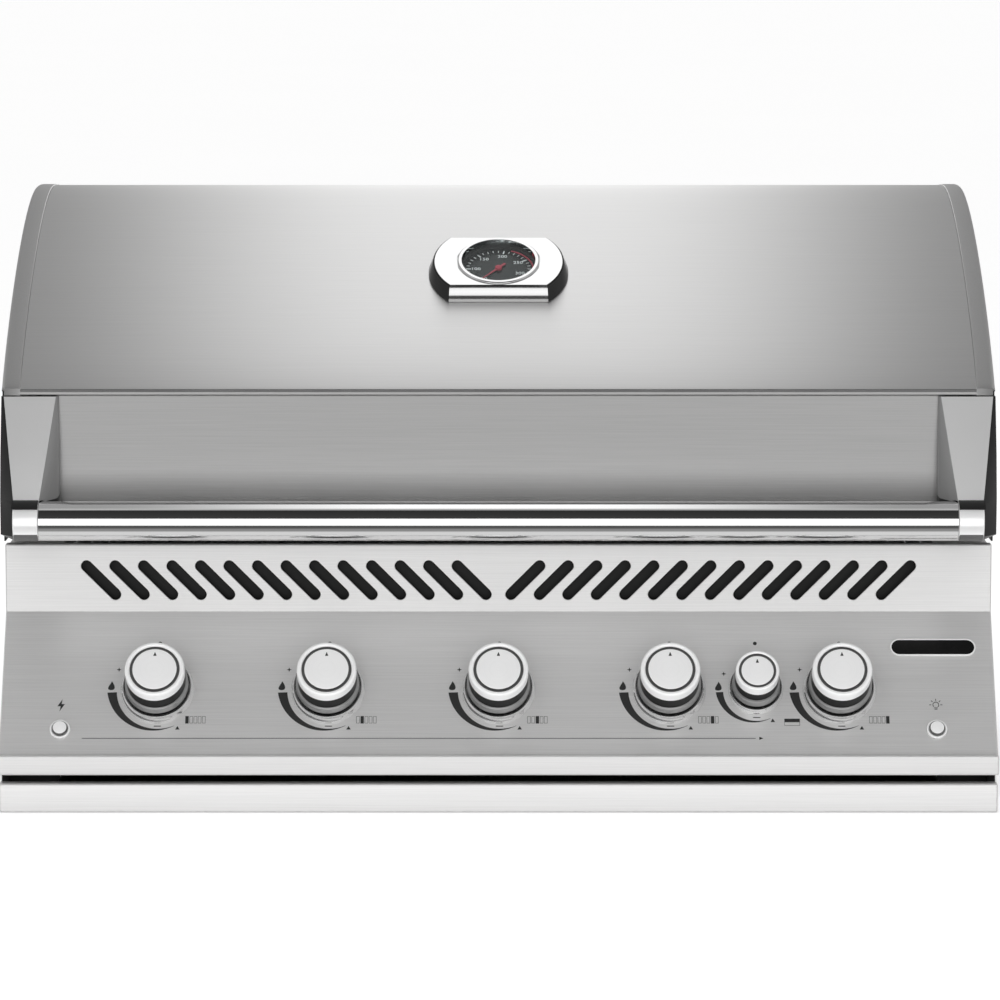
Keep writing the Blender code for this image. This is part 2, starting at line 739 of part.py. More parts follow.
def make_lid_end(label, side):
    # A pressed end: side wall with a round-edged rim that wraps over the curve.
    stations = ((HALF_WIDTH - END_RIM_WIDTH, 0), (HALF_WIDTH - 0.004, 0), (HALF_WIDTH - 0.0012, 0.0012), (HALF_WIDTH, 0.004))
    rings = [[(side * x, y, z) for y, z in end_outline(inset)] for x, inset in stations]
    end = add_part("lid_end_" + label, loft(rings), BRUSHED)

    curve = offset_path(lid_curve(), -SHEET)
    inner_edge = curve[0]
    hollow = [(LID_EDGE[0] - 0.02, inner_edge[1] - 0.001)] + curve[1:]
    hollow += [(curve[-1][0], LID_BOTTOM - 0.02), (LID_EDGE[0] - 0.02, LID_BOTTOM - 0.02)]
    start = HALF_WIDTH - END_RIM_WIDTH - 0.01
    cut(end, prism(hollow, side * start, side * (HALF_WIDTH - SHEET)), "hollow")
    hole = rod((side * 0.470, *LID_PIVOT), (side * 0.500, *LID_PIVOT), 0.0056, 12)
    cut(end, hole, "pivot_hole")


def make_hinge_pin(label, side, axis):
    # Shoulder bolt: low head outside, spacer between the lid and the firebox wing, threaded end inside.
    wing = FIREBOX_HALF
    profile = [
        (0, wing - 0.008),
        (0.0050, wing - 0.008),
        (0.0050, wing + 0.0008),
        (0.0080, wing + 0.0008),
        (0.0080, HALF_WIDTH - SHEET - GAP),
        (0.0050, HALF_WIDTH - SHEET - GAP),
        (0.0050, HALF_WIDTH + GAP),
        (0.0090, HALF_WIDTH + GAP),
        (0.0075, HALF_WIDTH + 0.0025),
        (0, HALF_WIDTH + 0.0028),
    ]
    pin = turned(profile, 12)
    turn = Matrix.Rotation(math.radians(90 * side), 4, "Y")
    add_part("hinge_pin_" + label, moved(pin, turn), CHROME, axis)


# Handle

def make_handle_tube():
    tube = rod((-TUBE_HALF, *TUBE_AXIS), (TUBE_HALF, *TUBE_AXIS), TUBE_RADIUS, 28)
    add_part("handle_tube", tube, CHROME)


def make_collar(label, side):
    edge = 0.0012
    radius = TUBE_RADIUS + 0.0006
    collar = turned([
        (0, COLLAR_START),
        (radius - edge, COLLAR_START),
        (radius, COLLAR_START + edge),
        (radius, COLLAR_END - edge),
        (radius - edge, COLLAR_END),
        (0, COLLAR_END),
    ], 20)
    place = Matrix.Translation((0, *TUBE_AXIS)) @ Matrix.Rotation(math.radians(90 * side), 4, "Y")
    add_part("handle_collar_" + label, moved(collar, place), CHROME)


def make_bracket(label, side):
    # A cast wedge: wide and shallow under the lid's edge, narrow and deep above the tube.
    inner = 0.430
    outer = HALF_WIDTH
    base = RECESS_FRONT - GAP
    stations = (
        # height, side depth, front depth, inner and outer ends of the front face
        (0.262, -0.262, -0.266, 0.4445, 0.470),
        (0.268, -0.266, -0.282, 0.4445, 0.4720),
        (0.303, -0.267, -0.301, 0.4445, 0.4688),
        (0.345, -0.260, -0.275, 0.4390, 0.4750),
        (LID_HEM_BOTTOM - GAP, -0.243, -0.2440, 0.4317, 0.4825),
    )
    rings = []
    for z, side_y, front_y, face_in, face_out in stations:
        low = z < 0.265
        trim = 0.012 if low else 0
        outline = [
            (inner + trim, base),
            (inner + trim, min(base - 0.001, side_y + 0.006)),
            (face_in, front_y),
            (face_out, front_y),
            (outer - trim, side_y),
            (outer - trim, base),
        ]
        rings.append([(side * x, y, z) for x, y in outline])
    bracket = add_part("handle_bracket_" + label, loft(rings), CAST)
    clearance = TUBE_RADIUS + 0.0006 + GAP
    saddle = rod((side * 0.425, *TUBE_AXIS), (side * (COLLAR_END + 0.0004), *TUBE_AXIS), clearance, 20)
    cut(bracket, saddle, "saddle")


# Thermometer

def flat_round(radius, half_height, steps=7):
    # A circle with its top and bottom cut straight.
    lean = math.degrees(math.asin(half_height / radius))
    return arc((0, 0), radius, -lean, lean, steps) + arc((0, 0), radius, 180 - lean, 180 + lean, steps)


def make_thermometer():
    place = gauge_matrix()
    stations = ((-0.008, 0.0700, 0.0495), (0.003, 0.0700, 0.0495), (0.0135, 0.0645, 0.0450), (0.0150, 0.0630, 0.0435))
    rings = [[(x, y, z) for x, y in flat_round(radius, half)] for z, radius, half in stations]
    bezel = add_part("thermometer_bezel", moved(loft(rings), place), CHROME)
    lip = turned([(0.0370, 0.012), (0.0412, 0.012), (0.0412, 0.0160), (0.0400, 0.0168), (0.0370, 0.0168)], 24, True)
    fuse(bezel, moved(lip, place), "dial_ring")
    well = turned([(0, 0.0022), (0.0378, 0.0022), (0.0378, 0.030), (0, 0.030)], 24)
    cut(bezel, moved(well, place), "dial_well")
    stem_hole = turned([(0, -0.02), (0.0050, -0.02), (0.0050, 0.01), (0, 0.01)], 12)
    cut(bezel, moved(stem_hole, place), "stem_hole")
    curve = offset_path(lid_curve(), GAP)
    below = curve + [(curve[-1][0], 0.300), (curve[0][0], 0.300)]
    cut(bezel, prism(below, -0.09, 0.09), "lid_seat")

    dial = turned([(0, -0.070), (0.0040, -0.070), (0.0040, 0.0025), (0.0375, 0.0025), (0.0374, 0.0055), (0, 0.0055)], 20)
    add_part("thermometer_dial", moved(dial, place), BLACK)
    glass = turned([(0, 0.0125), (0.0370, 0.0125), (0.0370, 0.0145), (0, 0.0150)], 20)
    add_part("thermometer_glass", moved(glass, place), GLASS)

    axis = add_axis("needle_axis", place)
    hub = turned([(0, 0.0060), (0.0035, 0.0060), (0.0035, 0.0085), (0, 0.0090)], 12)
    needle = add_part("thermometer_needle", hub, RED, axis)
    lean = Matrix.Rotation(math.radians(140), 4, "Z")
    outline = [(-0.0012, -0.010), (0.0012, -0.010), (0.0003, 0.029), (-0.0003, 0.029)]
    pointer = loft([[(x, y, z) for x, y in outline] for z in (0.0066, 0.0076)])
    fuse(needle, moved(pointer, lean), "pointer")


def make_lid():
    make_lid_sheets()
    axis = add_axis("lid_axis", Matrix.Translation((0, *LID_PIVOT)))
    for label, side in (("left", -1), ("right", 1)):
        make_lid_end(label, side)
        make_hinge_pin(label, side, axis)
        make_collar(label, side)
        make_bracket(label, side)
    make_handle_tube()
    make_thermometer()


def main():
    for old in list(bpy.data.objects):
        bpy.data.objects.remove(old, do_unlink=True)
    make_casing()
    make_firebox()
    make_control_panel()
    make_name_plate()
    make_knobs()
    make_button("ignition_button", -BUTTON_X)
    make_button("light_button", BUTTON_X)
    make_manifold()
    make_ignition_module()
    for number, x in enumerate(BURNER_X, start=1):
        make_burner(number, x)
        make_sear_plate(number, x)
    make_rear_burner()
    for name, middle in (("cooking_grid_left", -0.2855), ("cooking_grid_middle", 0), ("cooking_grid_right", 0.2855)):
        make_grid(name, middle)
    make_warming_rack()
    make_drip_tray()
    make_lid()


main()
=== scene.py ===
import json
import math

import bmesh
import bpy
from mathutils import Matrix, Vector

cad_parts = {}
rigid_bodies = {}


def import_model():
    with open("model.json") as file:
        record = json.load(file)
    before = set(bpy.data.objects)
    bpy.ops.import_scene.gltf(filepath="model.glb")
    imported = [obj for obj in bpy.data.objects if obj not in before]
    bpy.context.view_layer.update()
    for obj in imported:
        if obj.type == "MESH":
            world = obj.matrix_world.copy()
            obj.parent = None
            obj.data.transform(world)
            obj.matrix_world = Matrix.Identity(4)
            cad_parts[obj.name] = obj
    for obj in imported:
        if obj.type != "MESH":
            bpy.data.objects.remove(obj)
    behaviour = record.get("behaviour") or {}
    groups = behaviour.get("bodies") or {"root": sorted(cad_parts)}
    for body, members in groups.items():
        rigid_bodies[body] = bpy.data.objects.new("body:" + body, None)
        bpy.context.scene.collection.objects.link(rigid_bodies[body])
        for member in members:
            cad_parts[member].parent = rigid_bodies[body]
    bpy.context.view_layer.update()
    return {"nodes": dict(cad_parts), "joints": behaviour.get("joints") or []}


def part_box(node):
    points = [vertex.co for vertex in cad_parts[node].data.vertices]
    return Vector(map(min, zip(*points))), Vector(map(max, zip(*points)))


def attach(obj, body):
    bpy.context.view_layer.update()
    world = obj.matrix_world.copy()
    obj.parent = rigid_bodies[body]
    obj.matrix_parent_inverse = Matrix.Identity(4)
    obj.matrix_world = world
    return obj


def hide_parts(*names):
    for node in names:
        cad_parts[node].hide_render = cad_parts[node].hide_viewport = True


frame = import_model()
joints = {joint["name"]: joint for joint in frame["joints"]}


# Shader tools

class Wire:  # a socket that takes part in sums; each sum adds a Math node
    def __init__(self, nodes, socket):
        self.nodes = nodes
        self.socket = socket

    def maths(self, operation, *values):
        return self.nodes.add("Math", {"operation": operation}, dict(enumerate(values or (self,))))

    def __add__(self, other):
        return self.maths("ADD", self, other)

    def __sub__(self, other):
        return self.maths("SUBTRACT", self, other)

    def __rsub__(self, other):
        return self.maths("SUBTRACT", other, self)

    def __mul__(self, other):
        return self.maths("MULTIPLY", self, other)

    def __truediv__(self, other):
        return self.maths("DIVIDE", self, other)

    def __rtruediv__(self, other):
        return self.maths("DIVIDE", other, self)

    def __pow__(self, power):
        return self.maths("POWER", self, power)

    __radd__ = __add__
    __rmul__ = __mul__


class Nodes:  # a node tree being filled
    def __init__(self, tree):
        self.tree = tree
        tree.nodes.clear()

    def add(self, kind, settings=None, values=None, output=0):
        node = self.tree.nodes.new("ShaderNode" + kind)
        for name, setting in (settings or {}).items():
            if name == "stops":
                fillRamp(node.color_ramp, setting)
            else:
                setattr(node, name, setting)
        for name, value in (values or {}).items():
            if isinstance(value, Wire):
                self.tree.links.new(value.socket, node.inputs[name])
            else:
                node.inputs[name].default_value = value
        return Wire(self, node.outputs[output]) if node.outputs else None

    def place(self, kind="Object"):
        return self.add("TexCoord", output=kind)

    def parts(self, kind="Object"):
        split = self.add("SeparateXYZ", {}, {0: self.place(kind)})
        return [Wire(self, socket) for socket in split.socket.node.outputs]

    def noise(self, scale, detail=2.0, vector=None):
        # over the piece's own coordinates, stretched by one factor or by three
        factors = scale if isinstance(scale, (list, tuple)) else (scale,) * 3
        where = self.add("VectorMath", {"operation": "MULTIPLY"}, {0: vector or self.place(), 1: factors})
        return self.add("TexNoise", {}, {"Vector": where, "Scale": 1.0, "Detail": detail})

    def mix(self, share, first, second):
        return self.add("Mix", {"data_type": "RGBA"}, {0: share, 6: first, 7: second}, 2)

    def ramp(self, value, stops):
        return self.add("ValToRGB", {"stops": stops}, {0: value})

    def between(self, value, low, high):
        return self.add("MapRange", {"interpolation_type": "SMOOTHSTEP"}, {0: value, 1: low, 2: high})

    def bump(self, height, strength, depth):
        return self.add("Bump", {}, {"Height": height, "Strength": strength, "Distance": depth})


def fillRamp(ramp, stops):
    while len(ramp.elements) > 1:
        ramp.elements.remove(ramp.elements[-1])
    for number, (position, colour) in enumerate(stops):
        element = ramp.elements[0] if number == 0 else ramp.elements.new(position)
        element.position = position
        element.color = colour


def grey(level, warmth=0.0):
    return (level * (1 + warmth), level, level * (1 - warmth), 1)


def newMaterial(name, recipe, **look):
    # a recipe gives a Principled shader's sockets, or a shader of its own
    material = bpy.data.materials.new(name)
    material.use_nodes = True
    nodes = Nodes(material.node_tree)
    shader = recipe(nodes, **look)
    if isinstance(shader, dict):
        shader = nodes.add("BsdfPrincipled", {}, shader)
    nodes.add("OutputMaterial", {}, {"Surface": shader})
    return material


# Finishes

def brushedMetal(nodes, level, roughness, grain=(12, 2400), axis="x", stretch=0.8, metallic=1.0, spread=0.02,
                 warmth=0.004):
    # Fine scratches along one axis over a faint, broader unevenness
    along, across = grain
    factors = [across] * 3
    factors["xyz".index(axis)] = along
    streak = nodes.noise(factors) * 0.7 + nodes.noise([factor * 0.35 for factor in factors]) * 0.3
    cloud = nodes.noise(4)
    return {
        "Base Color": nodes.mix(nodes.between(streak + (cloud - 0.5) * 0.1, 0.35, 0.65),
                                grey(level - spread, warmth), grey(level + spread, warmth)),
        "Metallic": metallic,
        "Roughness": roughness + (streak - 0.5) * 0.06 + (cloud - 0.5) * 0.02,
        "Anisotropic": stretch,
        "Anisotropic Rotation": 0.25,
        "Normal": nodes.bump(streak, 0.025, 0.0002),
    }


def polishedMetal(nodes, level, roughness, metallic=1.0, grain=(60, 900, 900)):
    # Plated or buffed metal: clean, with faint wiping marks that only touch the gloss
    cloud = nodes.noise(14, 3.0)
    hair = nodes.noise(grain, 1.0)
    return {
        "Base Color": nodes.mix(cloud, grey(level - 0.02), grey(level + 0.02)),
        "Metallic": metallic,
        "Roughness": roughness + (cloud - 0.5) * 0.03 + nodes.between(hair, 0.62, 0.72) * 0.03,
        "Normal": nodes.bump(hair, 0.02, 0.0001),
    }


def turnedMetal(nodes, level, roughness, metallic):
    # Face cut on a lathe: rings about the piece's own Z axis
    x, y, z = nodes.parts()
    radius = (x * x + y * y) ** 0.5
    rings = nodes.noise(2600, 1.0, nodes.add("CombineXYZ", {}, {0: radius, 1: z}))
    return {
        "Base Color": nodes.mix(rings, grey(level - 0.03), grey(level + 0.03)),
        "Metallic": metallic,
        "Roughness": roughness + (rings - 0.5) * 0.10 + (nodes.noise(40) - 0.5) * 0.05,
        "Anisotropic": 0.5,
        "Anisotropic Rotation": 0.25,
        "Normal": nodes.bump(rings, 0.06, 0.0001),
    }


def castSurface(nodes, level, roughness, metallic=0.0, relief=0.10, gloss=0.5, pebble=900, warmth=0):
    # Die-cast or moulded skin with a fine pebble, dusty where it is rough
    skin = nodes.noise(pebble)
    cloud = nodes.noise(18, 3.0)
    return {
        "Base Color": nodes.mix(nodes.between(skin * 0.5 + cloud * 0.5, 0.3, 0.7),
                                grey(level * 0.85, warmth), grey(level * 1.15, warmth)),
        "Metallic": metallic,
        "Roughness": roughness + (skin - 0.5) * 0.12 + (cloud - 0.5) * 0.08,
        "Specular IOR Level": gloss,
        "Normal": nodes.bump(skin, relief, 0.0002),
    }


def printedInk(nodes, colour, roughness):
    speck = nodes.noise(1500)
    paler = [channel + 0.02 for channel in colour] + [1]
    return {
        "Base Color": nodes.mix(speck, (*colour, 1), paler),
        "Roughness": roughness + (speck - 0.5) * 0.1,
        "Normal": nodes.bump(speck, 0.05, 0.00005),
    }


def gaugeGlass(nodes, tint):
    # A thin pane: mostly clear, with a mirror sheen that grows towards its edge
    clear = nodes.add("BsdfTransparent", {}, {"Color": tint})
    sheen = nodes.add("BsdfPrincipled", {}, {
        "Base Color": (0.9, 0.93, 0.93, 1),
        "Metallic": 1.0,
        "Roughness": 0.03 + nodes.noise(60, 3.0) * 0.03,
    })
    facing = nodes.add("LayerWeight", {}, {"Blend": 0.1}, 1)
    return nodes.add("MixShader", {}, {0: facing * 0.16 + 0.004, 1: clear, 2: sheen})


def ceramicTile(nodes, pitch):
    # Infrared burner tile: rows of pin holes, painted near-black as their shade, in a pale fired clay
    x, y, z = nodes.parts()
    rise = z / pitch
    u = (x / pitch + rise.maths("FLOOR") * 0.5).maths("FRACT") - 0.5
    v = rise.maths("FRACT") - 0.5
    hole = 1 - nodes.between((u * u + v * v) ** 0.5, 0.20, 0.27)
    grit = nodes.noise(700, 3.0)
    clay = nodes.mix(grit, (0.52, 0.47, 0.39, 1), (0.64, 0.59, 0.51, 1))
    return {
        "Base Color": nodes.mix(hole, clay, (0.03, 0.025, 0.02, 1)),
        "Roughness": 0.9 - grit * 0.1,
        "Normal": nodes.bump((1 - hole) + grit * 0.2, 0.4, 0.0006),
    }


def burnerTube(nodes, radius, pitch, flank, port, reach):
    # Bright tube with a row of ports along each upper flank, over the piece's own Y axis; the ports are
    # painted near-black as their shade
    x, y, z = nodes.parts()
    low, high = reach
    step = (y / pitch).maths("FRACT") - 0.5
    side = x.maths("ABSOLUTE") / radius - flank
    away = (step * step * (pitch / radius) ** 2 + side * side) ** 0.5
    upper = nodes.between(z, radius * 0.2, radius * 0.25)
    drilled = nodes.between(y, low, low + 0.001) * (1 - nodes.between(y, high - 0.001, high))
    hole = (1 - nodes.between(away, *port)) * upper * drilled
    streak = nodes.noise((500, 12, 500))
    warm = nodes.mix(streak, (0.42, 0.40, 0.37, 1), (0.54, 0.52, 0.48, 1))
    return {
        "Base Color": nodes.mix(hole, warm, (0.01, 0.01, 0.01, 1)),
        "Metallic": 1 - hole,
        "Roughness": 0.36 + (streak - 0.5) * 0.12 + hole * 0.4,
        "Anisotropic": 0.4,
        "Normal": nodes.bump(streak - hole, 0.10, 0.0003),
    }


def coatedSheet(nodes, front, foot):
    # Mill-finish sheet whose front wall is painted black as shade, so that the panel's slots look dark
    x, y, z = nodes.parts()
    slotShade = (1 - nodes.between(y, *front)) * nodes.between(z, *foot)
    fine = nodes.noise((20, 20, 900))
    cloud = nodes.noise(9, 3.0)
    sheet = nodes.mix(fine * 0.6 + cloud * 0.4, grey(0.44, 0.006), grey(0.54, 0.006))
    return {
        "Base Color": nodes.mix(slotShade, sheet, grey(0.003)),
        "Metallic": 1 - slotShade,
        "Roughness": 0.42 + (fine - 0.5) * 0.08 + (cloud - 0.5) * 0.08 + slotShade * 0.2,
        "Normal": nodes.bump(fine, 0.03, 0.0002),
    }


finishes = {}


def addFinish(name, recipe, **look):
    finishes[name] = newMaterial(name, recipe, **look)


addFinish("lid_steel", brushedMetal, level=0.72, roughness=0.31, stretch=0.9, spread=0.015)
# a darker copy of the lid's steel, painted as shade in the recess under the overhang
addFinish("recess_shade_steel", brushedMetal, level=0.42, roughness=0.34)
addFinish("end_steel", brushedMetal, level=0.66, roughness=0.34, axis="y")
addFinish("panel_steel", brushedMetal, level=0.76, roughness=0.38, metallic=0.62, spread=0.03)
addFinish("trim_steel", brushedMetal, level=0.78, roughness=0.34, metallic=0.7, spread=0.03)
addFinish("mill_steel", brushedMetal, level=0.48, roughness=0.42, grain=(20, 700), axis="y", stretch=0.2,
          spread=0.04)
addFinish("inner_steel", brushedMetal, level=0.44, roughness=0.45, grain=(16, 600), stretch=0.2, spread=0.05,
          warmth=0.02)
addFinish("rod_steel", brushedMetal, level=0.52, roughness=0.30, grain=(10, 900), axis="y", stretch=0.3)
# the casing's front wall behind the slots is painted black as shade
addFinish("casing_steel", coatedSheet, front=(-0.2105, -0.2085), foot=(0.030, 0.034))
addFinish("chrome_plating", polishedMetal, level=0.84, roughness=0.07)
addFinish("soft_chrome", polishedMetal, level=0.80, roughness=0.16)
addFinish("ring_chrome", polishedMetal, level=0.84, roughness=0.13, metallic=0.85)
addFinish("gauge_chrome", polishedMetal, level=0.56, roughness=0.12)
# chrome painted near-black as a dark reflection
addFinish("dark_reflection_chrome", polishedMetal, level=0.06, roughness=0.12)
addFinish("ferrule", polishedMetal, level=0.92, roughness=0.28, metallic=0.4)
addFinish("skirt_steel", polishedMetal, level=0.40, roughness=0.30, metallic=0.8)
# a pale satin finish; also painted as a highlight down the brackets' inner edges
addFinish("satin_plate_and_highlight", polishedMetal, level=0.92, roughness=0.28, metallic=0.2)
addFinish("arm_steel", polishedMetal, level=0.58, roughness=0.40, metallic=0.35, grain=(900, 900, 60))
# a darker copy of the bracket's steel, painted as shade on the inner flank
addFinish("flank_shade_steel", polishedMetal, level=0.34, roughness=0.42, metallic=0.3)
addFinish("turned_cap", turnedMetal, level=0.88, roughness=0.36, metallic=0.2)
addFinish("burner_steel", burnerTube, radius=0.0190, pitch=0.008, flank=0.80, port=(0.05, 0.08),
          reach=(-0.110, 0.205))
# black paint that stands for the shade behind the slots
addFinish("slot_shade_black", castSurface, level=0.006, roughness=0.6, relief=0.05, gloss=0.2)
# grey-black paint that stands for shade in folds, grooves, gaps and undersides
addFinish("painted_shade_grey", castSurface, level=0.14, roughness=0.5, metallic=0.5)
# the black cast body; also painted as shade on the lid cheeks' fronts
addFinish("black_body_and_shade", castSurface, level=0.008, roughness=0.36, relief=0.06, gloss=0.25)
# the black grip band; also painted as the shade under the knob's skirt
addFinish("black_band_and_shade", castSurface, level=0.005, roughness=0.36, relief=0.03, gloss=0.15)
addFinish("black_enamel", castSurface, level=0.008, roughness=0.18, relief=0.02, gloss=0.2, pebble=400)
addFinish("turned_brass", castSurface, level=0.52, roughness=0.34, metallic=1.0, warmth=0.38)
addFinish("black_ink", printedInk, colour=(0.012, 0.012, 0.012), roughness=0.45)
addFinish("pale_ink", printedInk, colour=(0.86, 0.86, 0.86), roughness=0.5)
addFinish("red_ink", printedInk, colour=(0.45, 0.02, 0.05), roughness=0.45)
addFinish("gauge_glass", gaugeGlass, tint=(0.93, 0.95, 0.95, 1))
addFinish("burner_tile", ceramicTile, pitch=0.0028)
print("finishes:", len(finishes))


# Mesh tools

def newObject(name, data):
    thing = bpy.data.objects.new(name, data)
    bpy.context.scene.collection.objects.link(thing)
    return thing


def toMesh(name, shape):
    mesh = bpy.data.meshes.new(name)
    shape.to_mesh(mesh)
    shape.free()
    return mesh


def evaluated(helper, merge):
    # what an object's modifiers make of it; the object itself goes
    bpy.context.view_layer.update()
    graph = bpy.context.evaluated_depsgraph_get()
    mesh = bpy.data.meshes.new_from_object(helper.evaluated_get(graph))
    shape = bmesh.new()
    shape.from_mesh(mesh)
    bpy.data.meshes.remove(mesh)
    bpy.data.batch_remove((helper, helper.data))
    bmesh.ops.remove_doubles(shape, verts=shape.verts, dist=merge)
    return shape


def newLoft(rings):
    shape = bmesh.new()
    loops = [[shape.verts.new(point) for point in ring] for ring in rings]
    for low, high in zip(loops, loops[1:]):
        for i in range(len(low)):
            j = (i + 1) % len(low)
            shape.faces.new((low[i], low[j], high[j], high[i]))
    shape.faces.new(loops[0][::-1])
    shape.faces.new(loops[-1])
    bmesh.ops.recalc_face_normals(shape, faces=shape.faces)
    return shape


def newPrism(outline, low, high):
    # draws a closed (y, z) outline out along X
    return newLoft([[(end, u, v) for u, v in outline] for end in (low, high)])


def newPlate(outline, low, high):
    # draws a closed (x, y) outline up along Z
    return newLoft([[(u, v, end) for u, v in outline] for end in (low, high)])


def newBox(low, high):
    outline = [(low[1], low[2]), (high[1], low[2]), (high[1], high[2]), (low[1], high[2])]
    return newPrism(outline, low[0], high[0])


def newTurned(profile, sides=96, ring=False):
    # turns (radius, height) points about Z; a ring's profile closes on itself
    shape = bmesh.new()
    loops = []
    for radius, height in profile:
        if radius == 0:
            loops.append([shape.verts.new((0, 0, height))])
            continue
        angles = [2 * math.pi * i / sides for i in range(sides)]
        loops.append([shape.verts.new((radius * math.cos(a), radius * math.sin(a), height)) for a in angles])
    pairs = list(zip(loops, loops[1:]))
    if ring:
        pairs.append((loops[-1], loops[0]))
    for low, high in pairs:
        for i in range(sides):
            j = (i + 1) % sides
            corners = (low[i % len(low)], low[j % len(low)], high[j % len(high)], high[i % len(high)])
            face = list(dict.fromkeys(corners))
            if len(face) > 2:
                shape.faces.new(face)
    bmesh.ops.recalc_face_normals(shape, faces=shape.faces)
    return shape


def newRod(start, end, radius, sides=24, bevel=0.0):
    along = Vector(end) - Vector(start)
    foot = [(radius - bevel, 0), (radius, bevel)] if bevel else [(radius, 0)]
    head = [(r, along.length - height) for r, height in foot[::-1]]
    shape = newTurned([(0, 0)] + foot + head + [(0, along.length)], sides)
    return moved(shape, Matrix.Translation(start) @ along.to_track_quat("Z", "X").to_matrix().to_4x4())


def joined(shapes):
    whole = bmesh.new()
    for shape in shapes:
        mesh = toMesh("loose", shape)
        whole.from_mesh(mesh)
        bpy.data.meshes.remove(mesh)
    return whole


def moved(shape, matrix):
    shape.transform(matrix)
    return shape


def shifted(shape, x, y, z=0):
    return moved(shape, Matrix.Translation((x, y, z)))


def carved(shape, tool, operation="DIFFERENCE"):
    # cuts or joins one shape with another
    body, cutter = [newObject("helper", toMesh("helper", part)) for part in (shape, tool)]
    cut = body.modifiers.new("cut", "BOOLEAN")
    cut.operation = operation
    cut.solver = "EXACT"
    cut.object = cutter
    result = evaluated(body, 0.000002)
    bpy.data.batch_remove((cutter, cutter.data))
    return result


def softened(shape, width, segments=2, angle=35):
    # rounds the edges that turn by more than the angle
    sharp = [edge for edge in shape.edges if len(edge.link_faces) == 2
             and edge.calc_face_angle(0) > math.radians(angle)]
    bmesh.ops.bevel(shape, geom=sharp, offset=width, segments=segments, profile=0.5, affect="EDGES",
                    clamp_overlap=True)
    return shape


def painted(shape, rule):
    # the rule gives each face's finish number from its middle and its normal
    for face in shape.faces:
        face.material_index = rule(face.calc_center_median(), face.normal)
    return shape


def addPiece(name, shape, looks, body, node, place=None, smooth=30):
    shape.normal_update()
    mesh = toMesh(name, shape)
    for look in looks:
        mesh.materials.append(finishes[look])
    mesh.shade_smooth()
    mesh.set_sharp_from_angle(angle=math.radians(smooth))
    piece = newObject(name, mesh)
    if place is None:  # a texture space far behind lays the brushing's default tangent along X
        mesh.use_auto_texspace = False
        mesh.texspace_location = (0, 40, 0)
        mesh.texspace_size = (1, 1, 1)
    else:
        piece.matrix_world = place
    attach(piece, body)
    if node:
        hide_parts(node)


def arcLine(middle, radius, fromAngle, toAngle, steps):
    points = []
    for i in range(steps + 1):
        angle = math.radians(fromAngle + (toAngle - fromAngle) * i / steps)
        points.append((middle[0] + radius * math.cos(angle), middle[1] + radius * math.sin(angle)))
    return points


def bezierLine(start, startHandle, endHandle, end, steps):
    points = []
    for i in range(steps + 1):
        t = i / steps
        weights = ((1 - t) ** 3, 3 * t * (1 - t) ** 2, 3 * t * t * (1 - t), t ** 3)
        knots = (start, startHandle, endHandle, end)
        points.append(tuple(sum(w * knot[axis] for w, knot in zip(weights, knots)) for axis in (0, 1)))
    return points


def offsetLine(line, distance):
    # moves an open line to its left, with mitred corners
    points = [Vector(point) for point in line]
    lefts = []
    for a, b in zip(points, points[1:]):
        along = (b - a).normalized()
        lefts.append(Vector((-along.y, along.x)))
    result = [points[0] + lefts[0] * distance]
    for before, after, point in zip(lefts, lefts[1:], points[1:-1]):
        middle = (before + after).normalized()
        result.append(point + middle * distance / middle.dot(before))
    result.append(points[-1] + lefts[-1] * distance)
    return [tuple(point) for point in result]


def softLine(corners, steps=4):
    # corners are (u, v) or (u, v, radius); a radius turns the corner into a short curve
    points = []
    for i, corner in enumerate(corners):
        here = Vector(corner[:2])
        if len(corner) == 2:
            points.append(tuple(here))
            continue
        before = Vector(corners[i - 1][:2]) - here
        after = Vector(corners[i + 1][:2]) - here
        turn = math.pi - before.angle(after)
        reach = min(corner[2] * math.tan(turn / 2), 0.48 * before.length, 0.48 * after.length)
        start = here + before.normalized() * reach
        end = here + after.normalized() * reach
        for step in range(steps + 1):
            t = step / steps
            points.append(tuple((1 - t) ** 2 * start + 2 * t * (1 - t) * here + t * t * end))
    return points


def eased(line, half, outwards, closing=()):
    # lofts a bent line across the grill; the sheet's edge is eased at both ends
    stations = [(half, 0.0012), (half - 0.0004, 0.0004), (half - 0.0012, 0)]
    rings = []
    for side in (-1, 1):
        for x, inset in stations if side < 0 else stations[::-1]:
            ring = offsetLine(line, outwards * inset) if inset else line
            rings.append([(side * x, y, z) for y, z in [*ring, *closing]])
    return newLoft(rings)


def facing(origin, outwards):
    # axes with Z outwards and X along the grill
    z = Vector(outwards).normalized()
    x = Vector((1, 0, 0))
    matrix = Matrix((x, z.cross(x), z)).transposed().to_4x4()
    matrix.translation = Vector(origin)
    return matrix


def sideways(middle, side=1):
    # axes with Z to the right or to the left, at a (y, z) place
    return Matrix.Translation((0, *middle)) @ Matrix.Rotation(math.radians(90 * side), 4, "Y")


bothSides = {"left": -1, "right": 1}


# Lid sheet: roll-top curve, hem under its front edge, recess panel below

lid = {
    "sheet": 0.0015,
    "edge": (-0.241, 0.407),
    "edgeHandle": (-0.169, 0.4765),
    "crestHandle": (0.009, 0.5795),
    "crest": (0.139, 0.5828),
    "crestReach": 0.035,
    "rear": 0.300,
    "rearRound": 0.060,
    "rearRoundZ": 0.516,
    "rearStart": 80,  # degrees over the horizon where the falling top meets the rear round
    "steps": (72, 12, 16),  # of the front curve, the top and the rear round
    "hemBottom": 0.401,
    "hemMiddle": 0.4046,
    "recessFront": -0.233,
    "bottom": 0.257,
    "rearBottom": 0.375,
    "returnDepth": 0.0155,
    "bend": 0.0022,
    "stemHole": 0.0055,
}
needleTurn = joints["thermometer_needle_turn"]
gaugePlace = facing(needleTurn["pos_m"], [-value for value in needleTurn["axis"]])


